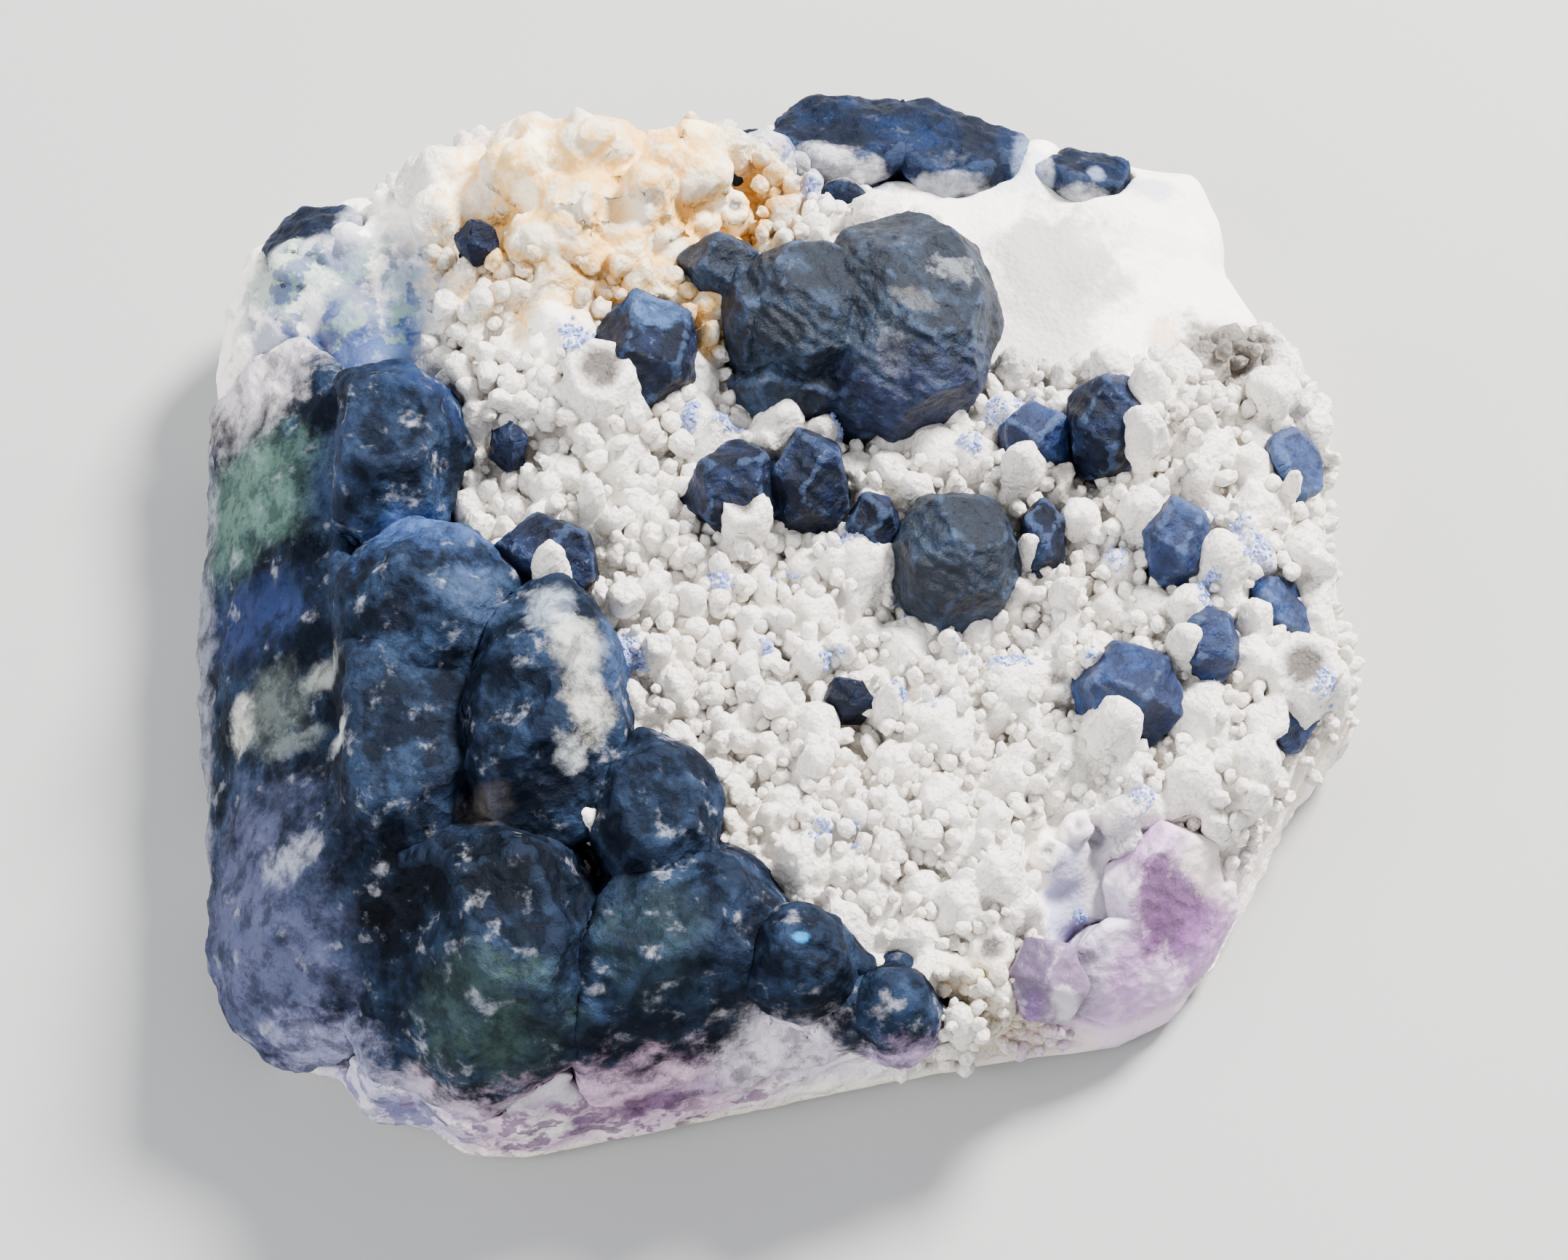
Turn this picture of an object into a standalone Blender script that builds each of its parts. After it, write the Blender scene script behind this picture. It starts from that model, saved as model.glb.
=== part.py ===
"""Blue fluorite on a slab of drusy quartz, sawn flat underneath and ground round its sides.

Every size in this file is in millimetres, and each mesh is scaled to metres when it is made.
+X is the right of the specimen, +Y its back, +Z up out of the crystal face.
"""

import math
import random

import bmesh
import bpy
from mathutils import Matrix, Vector

MM = 0.001
SOCKET_GAP = 0.3  # clearance between a fluorite crystal and the quartz it sits in
LARGE_CRYSTAL = 3.6  # half size above which a crystal shows its edge faces too
OUTLINE_STEPS = 66  # points round each contour of the slab
SEED = 11
SMALLEST_EDGE = 0.05
SLAB_SOLVER = "MANIFOLD"  # the exact solver loses the slab on its many small cuts
SKIN_STEP = 0.25  # grain of the skin drawn over the finished quartz
QUARTZ_TRIANGLES = 6400

BASE_INSET = 0.965  # the sawn base against the widest line above it
WALL_INSET = 0.992  # the ground wall halfway up to that line
SLAB_RINGS = (0.985, 0.955, 0.91, 0.84, 0.74, 0.6, 0.43, 0.22)  # contours of the upper face
ABOVE_ALL = 40.0  # height that no crystal reaches

# The widest line of the slab seen from above, anticlockwise from the right, and its height there.
OUTLINE = [
    (32.9, 6.0, 5), (33.0, -0.5, 5), (33.4, -3.0, 4), (33.8, -7.2, 4), (32.6, -9.0, 3),
    (30.2, -11.6, 3), (28.8, -14.2, 2), (27.3, -17.2, 2), (25.3, -20.8, 2), (23.3, -23.3, 1),
    (20.8, -25.3, 1), (14.0, -26.3, 1), (5.1, -28.0, 1), (-3.8, -30.0, 1), (-12.7, -31.9, 1),
    (-16.2, -32.5, 1), (-17.6, -31.9, 1), (-18.2, -30.5, 2), (-20.6, -30.9, 2), (-22.8, -30.4, 3),
    (-24.3, -28.0, 4), (-28.3, -27.2, 4), (-30.6, -24.5, 4), (-31.6, -21.7, 4), (-32.0, -15.8, 4),
    (-32.6, -10.0, 4), (-33.2, -4.0, 4), (-33.3, 3.6, 4), (-33.1, 9.0, 5), (-33.6, 13.4, 5),
    (-33.5, 17.5, 6), (-32.2, 21.5, 7), (-29.6, 24.6, 8), (-26.3, 25.2, 8), (-22.4, 25.5, 8),
    (-20.4, 26.4, 9), (-17.9, 26.4, 9), (-15.5, 28.2, 9), (-10.4, 29.5, 9), (-5.6, 28.9, 9),
    (-1.9, 29.4, 9), (0.9, 31.8, 9), (4.2, 32.4, 9), (7.8, 32.0, 9), (9.6, 32.4, 9), (12.4, 31.0, 9),
    (18.6, 29.3, 8), (25.0, 28.4, 7), (27.1, 25.8, 6), (27.5, 21.2, 6), (30.4, 16.8, 6),
    (32.5, 12.6, 6),
]

# Rounding of the ground edge by compass direction: degrees, width of the rounding, and how full it is.
EDGE = [
    (0, 3.0, 0.50), (50, 4.0, 0.50), (90, 3.5, 0.50), (130, 5.0, 0.60), (160, 9.0, 0.85),
    (200, 10.0, 0.85), (225, 7.0, 0.70), (245, 2.2, 0.45), (290, 2.0, 0.45), (318, 3.2, 0.50),
    (340, 3.0, 0.50), (360, 3.0, 0.50),
]

# Floor of the crystal face: swells and hollows as x, y, radius and height.
FLOOR_HEIGHT = 12.0
FLOOR_FALL = 0.085  # the slab thins towards the right
FLOOR_SWELLS = [
    (-10.0, 20.0, 8.0, 3.2), (19.0, 17.0, 10.0, 1.6), (6.0, -4.0, 13.0, -1.6), (24.0, 1.0, 9.0, 1.0),
    (21.0, -23.0, 8.0, -2.2), (2.0, -29.0, 12.0, -1.8), (-27.0, 16.0, 8.0, -0.6),
]

# Quartz points large enough to be picked out one by one: x, y, foot above the floor, radius, length.
LARGE_POINTS = [
    (-11.4, 22.4, 0.0, 4.3, 5.2), (-5.8, 22.6, 0.2, 3.4, 4.6), (-14.0, 18.2, 0.0, 2.3, 3.6),
    (-9.2, 18.2, 0.0, 2.7, 4.0), (-19.2, 23.4, 0.0, 2.6, 4.0), (-16.6, 14.6, 0.0, 2.2, 3.4),
    (-11.6, 14.2, 0.0, 2.3, 3.6), (-6.6, 15.0, 0.3, 2.1, 3.4), (-9.4, 8.6, 0.8, 2.4, 4.4),
    (-3.6, 12.2, 0.0, 1.7, 3.6), (-4.6, 8.0, 0.4, 2.0, 4.0), (-12.4, -4.0, 1.6, 1.3, 4.6),
    (-1.9, 0.7, 1.0, 1.5, 4.8), (0.0, 6.8, 1.0, 1.7, 4.2), (2.6, 5.9, 0.8, 1.5, 3.8),
    (5.0, -1.5, 0.6, 2.0, 4.2), (13.8, -0.7, 0.4, 1.2, 3.8), (13.9, 4.6, 0.3, 1.5, 3.8),
    (20.6, 6.4, 0.6, 1.6, 4.2), (24.4, 6.6, 0.2, 2.5, 4.2), (25.6, -1.8, 0.4, 2.0, 4.0),
    (18.9, -10.8, 0.3, 1.8, 3.6), (22.8, -5.2, 0.3, 1.3, 3.4), (24.4, -10.0, 0.0, 2.3, 3.8),
    (9.6, -5.6, 0.3, 2.1, 4.2), (6.2, -8.8, 0.2, 1.9, 4.0), (10.6, -10.2, 0.2, 2.0, 4.0),
    (3.0, -5.2, 0.2, 2.1, 3.8), (14.6, -7.0, 0.2, 1.9, 3.8), (15.6, -13.2, 0.0, 2.0, 3.4),
    (2.4, -13.6, 0.0, 1.9, 3.6), (8.8, -24.6, 0.2, 1.9, 3.6),
]

# The even druse between them: spacing of the points and the spread of their sizes.
DRUSE_SPACING = 4.1
DRUSE_FIELD = 70.0  # side of the square that the points are laid out over
DRUSE_JITTER = 0.7
DRUSE_RADIUS = (1.6, 2.5)
DRUSE_LENGTH = (2.6, 4.2)
DRUSE_LEAN = 0.30  # sideways lean of a point for each unit of height, at most
EDGE_MARGIN = 1.4  # no point stands nearer the edge than this
RIM_HEIGHT = 4.0  # height of the edge, near enough, for setting the points near it
FOOT_DEPTH = 0.3  # how far a point's foot is sunk
BLUNT_RADIUS = 2.2  # points wider than this have a rounded brow below the tip
SPREAD_BAND = 4.0  # points nearer the edge than this lean outwards

# Bare ground where no points stand: x, y, half widths in x and y.
BARE_GROUND = [
    (19.0, 19.5, 10.5, 8.5), (23.5, 25.0, 8.0, 6.0), (9.0, 27.0, 9.0, 5.0), (-27.5, 15.5, 8.5, 11.0),
    (-25.0, -9.0, 12.5, 22.0), (-12.5, -25.0, 14.5, 9.5), (-10.0, -16.0, 8.0, 9.0),
    (23.0, -22.0, 6.0, 5.0), (3.0, -29.0, 7.0, 4.0),
]

# Fluorite crystals of each cluster: x, y, centre above the floor, half sizes in x, y and z, turn in degrees.
LEFT_MASS = [
    (-22.6, 4.9, 0.6, 4.2, 5.0, 5.4, 20), (-19.6, -5.4, 1.0, 4.9, 4.9, 5.6, 50),
    (-12.9, -11.6, 1.6, 4.1, 7.2, 6.2, 12), (-6.8, -17.2, 1.8, 3.2, 4.0, 4.6, 35),
    (-5.6, -25.2, -1.0, 6.2, 6.8, 7.2, 65), (-17.0, -25.0, -1.4, 7.0, 7.2, 7.6, 25),
    (-23.2, -13.4, -1.4, 8.0, 8.2, 7.4, 40), (-29.4, -6.0, -5.0, 7.0, 12.0, 8.0, 5),
    (-27.6, -21.0, -4.6, 7.0, 8.0, 8.0, 30), (-29.4, 6.0, -5.2, 5.6, 7.4, 7.4, 15),
    (1.4, -25.9, 0.2, 3.5, 3.4, 4.6, 40), (7.0, -27.0, -0.6, 2.3, 2.3, 3.4, 20),
]
CROWN = [
    (7.4, 13.4, 3.6, 4.9, 6.1, 5.4, 24), (1.9, 13.4, 4.0, 3.7, 4.2, 4.6, 62),
    (-1.0, 13.8, 2.6, 1.9, 3.4, 4.0, 10), (1.2, 9.6, 2.6, 3.2, 1.9, 3.2, 30),
    (4.8, 9.4, 2.2, 2.1, 1.9, 3.2, 55), (-3.2, 16.6, 2.4, 2.0, 1.5, 2.8, 20),
]
CENTRE_PAIR = [
    (1.8, 3.8, 3.0, 2.0, 2.3, 3.2, 8), (-2.2, 3.2, 2.6, 2.3, 2.4, 3.2, 48),
]
PURPLE_CORNER = [
    (22.4, -19.8, 0.6, 3.2, 3.6, 3.4, 30), (20.6, -23.6, -0.4, 4.4, 3.2, 3.4, 10),
    (24.6, -21.4, -1.6, 3.4, 3.4, 3.4, 50),
]
BACK_RIM = [
    (4.4, 29.2, -1.4, 3.9, 3.8, 4.6, 35), (10.8, 29.0, -1.6, 3.7, 3.8, 4.8, 60),
]

# Fluorite crystals that stand alone, as name, x, y, centre above the floor, half sizes and turn.
SINGLE_CRYSTALS = [
    ("fluorite_east", 10.2, -0.9, 3.4, 3.2, 3.7, 4.2, 18),
    ("fluorite_east_west_neighbour", 5.6, 1.5, 3.2, 1.2, 1.4, 2.0, 10),
    ("fluorite_east_far_neighbour", 15.3, 0.7, 2.8, 1.0, 1.7, 2.2, 5),
    ("fluorite_crescent", -7.4, 11.1, 2.8, 2.4, 2.9, 3.0, 33),
    ("fluorite_ring", -11.4, -1.6, 2.6, 2.5, 1.9, 2.6, 5),
    ("fluorite_wedge", -15.2, 5.4, 2.4, 1.3, 1.5, 2.0, 55),
    ("fluorite_north_west", -17.2, 18.4, 3.0, 1.3, 1.3, 2.0, 35),
    ("fluorite_south", 4.2, -10.6, 2.2, 1.5, 1.3, 2.0, 25),
    ("fluorite_dark_east", 19.0, 7.6, 2.8, 1.9, 2.5, 3.0, 8),
    ("fluorite_east_hook", 14.9, 6.9, 2.4, 1.7, 1.6, 2.4, 8),
    ("fluorite_tablet", 22.8, 0.2, 2.8, 1.7, 2.0, 2.6, 12),
    ("fluorite_rim_east", 30.6, 6.4, 0.8, 1.6, 1.8, 2.2, 28),
    ("fluorite_rim_east_low", 29.2, -2.6, 1.6, 1.9, 1.4, 2.0, 10),
    ("fluorite_hook", 24.4, -5.9, 2.6, 1.4, 1.9, 2.4, 50),
    ("fluorite_south_east", 19.8, -8.9, 2.8, 2.5, 2.3, 2.8, 22),
    ("fluorite_rim_south_east", 30.0, -9.6, 0.4, 1.5, 1.6, 2.0, 40),
    ("fluorite_violet", 14.2, -24.6, 1.4, 1.9, 1.8, 2.6, 20),
    ("fluorite_rim_back_left", -2.4, 27.0, -0.4, 1.5, 1.5, 2.0, 15),
    ("fluorite_rim_back_right", 18.6, 26.6, -1.2, 2.2, 1.9, 2.4, 45),
    ("fluorite_corner_back_left", -27.6, 21.6, -1.8, 2.8, 2.2, 2.6, 20),
]
NAVY = (0.020, 0.045, 0.120)
PURPLE = (0.300, 0.160, 0.340)
WHITE_QUARTZ = (0.800, 0.770, 0.720)
FLUORITE_ROUGHNESS = 0.45
QUARTZ_ROUGHNESS = 0.80


def blend(low, high, share):
    """Smooth step from low to high."""
    share = min(1.0, max(0.0, share))
    return low + (high - low) * share * share * (3 - 2 * share)


def edge_at(angle):
    """Width and fullness of the ground edge in a direction from the middle of the slab."""
    angle %= 360
    for (start, *low), (end, *high) in zip(EDGE, EDGE[1:]):
        if start <= angle <= end:
            share = (angle - start) / (end - start)
            return [blend(a, b, share) for a, b in zip(low, high)]
    raise ValueError(angle)


def floor_at(x, y):
    """Height of the floor that the crystals stand on, away from the edge."""
    z = FLOOR_HEIGHT - FLOOR_FALL * x
    for cx, cy, radius, rise in FLOOR_SWELLS:
        z += rise * math.exp(-((x - cx) ** 2 + (y - cy) ** 2) / radius**2)
    return z


def contour(steps):
    """The outline as points evenly spaced along a closed curve through the given ones."""
    dense = []
    count = len(OUTLINE)
    for i in range(count):
        a, b, c, d = (Vector(OUTLINE[(i + k) % count]) for k in (-1, 0, 1, 2))
        for k in range(8):
            t = k / 8
            bend = (2 * a - 5 * b + 4 * c - d) * t**2 + (3 * b - a - 3 * c + d) * t**3
            dense.append(0.5 * (2 * b + (c - a) * t + bend))
    walk = [0.0]
    for a, b in zip(dense, dense[1:] + dense[:1]):
        walk.append(walk[-1] + (b - a).length)
    points = []
    j = 0
    for i in range(steps):
        target = walk[-1] * i / steps
        while walk[j + 1] < target:
            j += 1
        share = (target - walk[j]) / (walk[j + 1] - walk[j])
        points.append(dense[j].lerp(dense[(j + 1) % len(dense)], share))
    return points


CONTOUR = contour(OUTLINE_STEPS)


def inset_of(x, y):
    """How far a point lies inside the outline, and negative outside it."""
    nearest = 1e9
    inside = False
    for a, b in zip(CONTOUR, CONTOUR[1:] + CONTOUR[:1]):
        along = Vector((b.x - a.x, b.y - a.y))
        offset = Vector((x - a.x, y - a.y))
        share = min(1.0, max(0.0, offset.dot(along) / along.length_squared))
        nearest = min(nearest, (offset - share * along).length)
        if (a.y > y) != (b.y > y) and x < a.x + (y - a.y) / (b.y - a.y) * (b.x - a.x):
            inside = not inside
    return nearest if inside else -nearest


def face_height(x, y, rim):
    """Height of the slab's upper face, rounded down to the rim at its edge."""
    width, fullness = edge_at(math.degrees(math.atan2(y, x)))
    share = min(1.0, max(0.0, inset_of(x, y)) / width)
    return rim + (floor_at(x, y) - rim) * (share * (2 - share)) ** fullness


def ground_height(x, y, rim):
    """Height of the ground side where it carries on above the floor, to trim crystals at the edge."""
    width, fullness = edge_at(math.degrees(math.atan2(y, x)))
    share = max(0.0, inset_of(x, y)) / width
    if share < 0.7:
        return face_height(x, y, rim)
    steepness = (floor_at(x, y) - rim) / width * 0.55
    return face_height(x, y, rim) + steepness * (share - 0.7) * width


def loft(name, rings, tip_low, tip_high):
    """A closed solid through rings of points, listed from below, with a point below and above."""
    bm = bmesh.new()
    low = bm.verts.new(tip_low)
    loops = [[bm.verts.new(p) for p in ring] for ring in rings]
    high = bm.verts.new(tip_high)
    count = len(rings[0])
    for i in range(count):
        j = (i + 1) % count
        bm.faces.new((low, loops[0][j], loops[0][i]))
        bm.faces.new((high, loops[-1][i], loops[-1][j]))
        for lower, upper in zip(loops, loops[1:]):
            bm.faces.new((lower[i], lower[j], upper[j], upper[i]))
    return finish(name, bm)


def finish(name, bm):
    """Turns a mesh in millimetres into an object in metres."""
    bmesh.ops.recalc_face_normals(bm, faces=bm.faces)
    bmesh.ops.scale(bm, vec=(MM, MM, MM), verts=bm.verts)
    mesh = bpy.data.meshes.new(name)
    bm.to_mesh(mesh)
    bm.free()
    obj = bpy.data.objects.new(name, mesh)
    bpy.context.scene.collection.objects.link(obj)
    return obj


def slab_rings(height, inner):
    """Contours of the slab: from the sawn base up the side, then inwards over the top."""
    rings = [[(p.x * BASE_INSET, p.y * BASE_INSET, 0.0) for p in CONTOUR]]
    rings.append([(p.x * WALL_INSET, p.y * WALL_INSET, p.z / 2) for p in CONTOUR])
    rings.append([(p.x, p.y, p.z) for p in CONTOUR])
    for k in inner:
        rings.append([(p.x * k, p.y * k, height(p.x * k, p.y * k, p.z)) for p in CONTOUR])
    return rings


def slab():
    rings = slab_rings(face_height, SLAB_RINGS)
    return loft("quartz_matrix", rings, (0, 0, 0), (0, 0, floor_at(0, 0)))


def ground_envelope():
    """The space inside the ground sides, carried up past the crystals, for trimming them flush."""
    outer, inner = SLAB_RINGS[:5], SLAB_RINGS[5]
    rings = slab_rings(ground_height, outer)
    rings.append([(p.x * inner, p.y * inner, ABOVE_ALL) for p in CONTOUR])
    return loft("ground_envelope", rings, (0, 0, 0), (0, 0, ABOVE_ALL + 1))


def quartz_point(foot, lean, radius, length, rng):
    """A six-sided quartz point, whose shoulder runs higher under every other face of its tip."""
    bm = bmesh.new()
    up = Vector((*lean, 1.0)).normalized()
    side = up.orthogonal().normalized()
    turn = rng.uniform(0, math.tau / 6)
    profile = [(-radius, 1.0, 0.0), (0.46 * length, 0.94, 0.09 * length)]
    if radius > BLUNT_RADIUS:
        profile.append((0.84 * length, 0.62, 0.03 * length))
    reaches = [radius * rng.uniform(0.9, 1.1) for _ in range(6)]
    rings = []
    for rise, share, zigzag in profile:
        ring = []
        for i, reach in enumerate(reaches):
            ray = Matrix.Rotation(turn + i * math.tau / 6, 3, up) @ side
            height = rise + (zigzag if i % 2 else -zigzag)
            ring.append(bm.verts.new(foot + ray * reach * share + up * height))
        rings.append(ring)
    top = bm.verts.new(foot + up * length + side * radius * rng.uniform(-0.18, 0.18))
    bm.faces.new(rings[0][::-1])
    for i in range(6):
        j = (i + 1) % 6
        for lower, upper in zip(rings, rings[1:]):
            bm.faces.new((lower[i], lower[j], upper[j], upper[i]))
        bm.faces.new((rings[-1][i], rings[-1][j], top))
    return finish("quartz_point", bm)


def is_bare(x, y):
    return any(((x - cx) / rx) ** 2 + ((y - cy) / ry) ** 2 < 1 for cx, cy, rx, ry in BARE_GROUND)


def under_crystal(x, y):
    """True where a fluorite crystal takes the place of a quartz point."""
    crystals = LEFT_MASS + CROWN + CENTRE_PAIR + PURPLE_CORNER + BACK_RIM
    crystals = crystals + [row[1:] for row in SINGLE_CRYSTALS]
    return any(((x - c[0]) / c[3]) ** 2 + ((y - c[1]) / c[4]) ** 2 < 0.8 for c in crystals)


def near_large_point(x, y):
    return any((x - px) ** 2 + (y - py) ** 2 < (0.95 * r + 0.5) ** 2 for px, py, _, r, _ in LARGE_POINTS)


def druse():
    """Makes the quartz points one by one, each a closed shape with its foot in the slab."""
    rng = random.Random(SEED)
    for x, y, rise, radius, length in LARGE_POINTS:
        foot = Vector((x, y, floor_at(x, y) + rise))
        yield quartz_point(foot, (rng.uniform(-0.12, 0.12), rng.uniform(-0.2, 0.05)), radius, length, rng)
    row_gap = DRUSE_SPACING * math.sqrt(3) / 2
    for j in range(int(DRUSE_FIELD / row_gap)):
        for i in range(int(DRUSE_FIELD / DRUSE_SPACING)):
            x = (i + 0.5 * (j % 2)) * DRUSE_SPACING - DRUSE_FIELD / 2 + rng.uniform(-1, 1) * DRUSE_JITTER
            y = j * row_gap - DRUSE_FIELD / 2 + rng.uniform(-1, 1) * DRUSE_JITTER
            radius = rng.uniform(*DRUSE_RADIUS)
            length = rng.uniform(*DRUSE_LENGTH)
            lean = Vector((rng.uniform(-1, 1), rng.uniform(-1, 1))) * DRUSE_LEAN
            inset = inset_of(x, y)
            if inset < EDGE_MARGIN or is_bare(x, y) or under_crystal(x, y) or near_large_point(x, y):
                continue
            lean += 0.5 * max(0.0, 1 - inset / SPREAD_BAND) * Vector((x, y)).normalized()
            foot = Vector((x, y, face_height(x, y, RIM_HEIGHT) - FOOT_DEPTH))
            yield quartz_point(foot, lean, radius, length, rng)


def fluorite_planes(half, turn, rng, grow):
    """Faces of a cube with its corners cut off, and on large crystals its edges too."""
    edges_cut = max(half) > LARGE_CRYSTAL and not grow
    forms = []
    for x in (-1, 0, 1):
        for y in (-1, 0, 1):
            for z in (-1, 0, 1):
                order = abs(x) + abs(y) + abs(z)
                if order in (1, 3) or order == 2 and edges_cut:
                    forms.append((Vector((x, y, z)).normalized(), {1: 1.0, 2: 1.04, 3: 1.06}[order]))
    tilt = Matrix.Rotation(rng.uniform(-0.35, 0.35), 3, "X") @ Matrix.Rotation(rng.uniform(-0.35, 0.35), 3, "Y")
    spin = tilt @ Matrix.Rotation(math.radians(turn), 3, "Z")
    for normal, distance in forms:
        normal = spin @ normal
        stretched = Vector((normal.x / half[0], normal.y / half[1], normal.z / half[2]))
        distance *= 1 + 0.06 * math.sin(7 * normal.x + 5 * normal.y + 3 * normal.z)
        yield stretched.normalized(), distance / stretched.length + grow


def fluorite_crystal(name, row, grow=0.0):
    """One fluorite crystal, cut from a block by its faces."""
    x, y, rise, *half, turn = row
    rng = random.Random(round(100 * x + 10 * y) + SEED)
    block = bmesh.new()
    bmesh.ops.create_cube(block, size=4 * max(half))
    for normal, distance in fluorite_planes(half, turn, rng, grow):
        cut = bmesh.ops.bisect_plane(
            block,
            geom=block.verts[:] + block.edges[:] + block.faces[:],
            plane_co=normal * distance,
            plane_no=normal,
            clear_outer=True,
        )
        rim = [e for e in cut["geom_cut"] if isinstance(e, bmesh.types.BMEdge)]
        if rim:
            bmesh.ops.contextual_create(block, geom=rim)
    bmesh.ops.remove_doubles(block, verts=block.verts, dist=SMALLEST_EDGE)
    bmesh.ops.translate(block, vec=(x, y, floor_at(x, y) + rise), verts=block.verts)
    return finish(name, block)




def apply_modifiers(obj):
    graph = bpy.context.evaluated_depsgraph_get()
    made = bpy.data.meshes.new_from_object(obj.evaluated_get(graph))
    obj.modifiers.clear()
    obj.data = made


def boolean(obj, other, operation, solver="EXACT"):
    """Joins or cuts obj with other for good, and drops other."""
    modifier = obj.modifiers.new(operation.title(), "BOOLEAN")
    modifier.operation = operation
    modifier.object = other
    modifier.solver = solver
    apply_modifiers(obj)
    bpy.data.objects.remove(other)


def cluster(name, rows):
    """Crystals grown into each other, as one solid."""
    first, *others = rows
    whole = fluorite_crystal(name, first)
    for row in others:
        boolean(whole, fluorite_crystal("next_crystal", row), "UNION")
    return whole


def keep_largest_piece(obj):
    """Drops chips that a cut has set free."""
    bm = bmesh.new()
    bm.from_mesh(obj.data)
    left = set(bm.verts)
    pieces = []
    while left:
        stack = [left.pop()]
        piece = set(stack)
        while stack:
            for edge in stack.pop().link_edges:
                for vert in edge.verts:
                    if vert in left:
                        left.discard(vert)
                        piece.add(vert)
                        stack.append(vert)
        pieces.append(piece)
    pieces.sort(key=len)
    for piece in pieces[:-1]:
        bmesh.ops.delete(bm, geom=list(piece), context="VERTS")
    bm.to_mesh(obj.data)
    bm.free()


def resurface(obj):
    """Gives the quartz one even skin without slivers, thins that out and trims its base flat."""
    remesh = obj.modifiers.new("Skin", "REMESH")
    remesh.mode = "VOXEL"
    remesh.voxel_size = SKIN_STEP * MM
    apply_modifiers(obj)
    keep_largest_piece(obj)
    triangles = sum(len(face.vertices) - 2 for face in obj.data.polygons)
    thin = obj.modifiers.new("Thin", "DECIMATE")
    thin.ratio = QUARTZ_TRIANGLES / triangles
    apply_modifiers(obj)
    for vert in obj.data.vertices:
        if vert.co.z < SKIN_STEP * MM:
            vert.co.z = 0.0


def stand_on_origin():
    """Moves the whole specimen so that the middle of its box is over the origin and its base is at zero."""
    corners = [v.co for obj in bpy.data.objects for v in obj.data.vertices]
    low = Vector([min(c[i] for c in corners) for i in range(3)])
    high = Vector([max(c[i] for c in corners) for i in range(3)])
    middle = (low + high) / 2
    shift = Matrix.Translation((-middle.x, -middle.y, -low.z))
    for obj in bpy.data.objects:
        obj.data.transform(shift)


def paint(obj, colour, roughness):
    material = bpy.data.materials.new(obj.name)
    material.use_nodes = True
    shader = material.node_tree.nodes["Principled BSDF"]
    shader.inputs["Base Color"].default_value = (*colour, 1.0)
    shader.inputs["Roughness"].default_value = roughness
    shader.inputs["Metallic"].default_value = 0.0
    obj.data.materials.clear()
    obj.data.materials.append(material)


def main():
    for obj in list(bpy.data.objects):
        bpy.data.objects.remove(obj)

    matrix = slab()
    for point in druse():
        boolean(matrix, point, "UNION", SLAB_SOLVER)

    clusters = [
        ("fluorite_left_mass", LEFT_MASS, True),
        ("fluorite_crown", CROWN, False),
        ("fluorite_centre_pair", CENTRE_PAIR, False),
        ("fluorite_purple_corner", PURPLE_CORNER, True),
        ("fluorite_back_rim", BACK_RIM, True),
    ]
    clusters += [(name, [row], "rim" in name or "corner" in name) for name, *row in SINGLE_CRYSTALS]
    for name, rows, ground in clusters:
        crystal = cluster(name, rows)
        if ground:
            boolean(crystal, ground_envelope(), "INTERSECT")
            keep_largest_piece(crystal)
        for row in rows:
            boolean(matrix, fluorite_crystal("socket", row, SOCKET_GAP), "DIFFERENCE", SLAB_SOLVER)
        purple = "purple" in name or "violet" in name
        paint(crystal, PURPLE if purple else NAVY, FLUORITE_ROUGHNESS)
    resurface(matrix)
    paint(matrix, WHITE_QUARTZ, QUARTZ_ROUGHNESS)
    stand_on_origin()


main()
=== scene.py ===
import math

import bmesh
import bpy
import numpy as np
from mathutils import Matrix, Vector
from mathutils.bvhtree import BVHTree


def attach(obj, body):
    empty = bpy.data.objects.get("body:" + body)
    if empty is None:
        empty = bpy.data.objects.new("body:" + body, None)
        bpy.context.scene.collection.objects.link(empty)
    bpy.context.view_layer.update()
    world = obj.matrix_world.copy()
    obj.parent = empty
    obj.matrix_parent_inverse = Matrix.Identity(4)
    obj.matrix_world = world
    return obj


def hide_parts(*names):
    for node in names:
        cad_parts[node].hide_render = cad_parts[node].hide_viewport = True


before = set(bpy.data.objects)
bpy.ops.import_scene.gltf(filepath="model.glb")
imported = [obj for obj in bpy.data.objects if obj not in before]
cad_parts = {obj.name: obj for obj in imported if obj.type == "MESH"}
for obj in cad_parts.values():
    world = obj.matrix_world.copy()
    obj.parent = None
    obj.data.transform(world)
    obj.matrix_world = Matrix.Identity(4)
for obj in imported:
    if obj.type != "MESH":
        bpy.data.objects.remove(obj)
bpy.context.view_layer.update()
mm = 0.001
print("stage: frame loaded")

# ground that carries no quartz points: middle x, y and half widths, mm
bareGround = [
    (19, 19.5, 10, 7.5), (23.5, 25, 8, 6), (9, 27, 9, 5), (-28.5, 15.5, 7.8, 11), (-26, -10, 10.5, 20),
    (-12.5, -25, 13, 8), (23, -22, 6, 5.5), (3, -29.5, 7, 4), (16.5, -18.6, 3, 3.6),
]
frontDruse = [(12.6, -28.0, 5.6, 3.4)]  # where the points run down to the front edge
icyGround = [(18.2, -19.8, 2.8, 3.4)]
# big smooth lumps that carry few small points
lumpyGround = [(-10.6, 21.6, 9.6, 5.4), (-12.9, 12.1, 2.6, 2.2), (-27, 15.5, 7.4, 9)]
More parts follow.
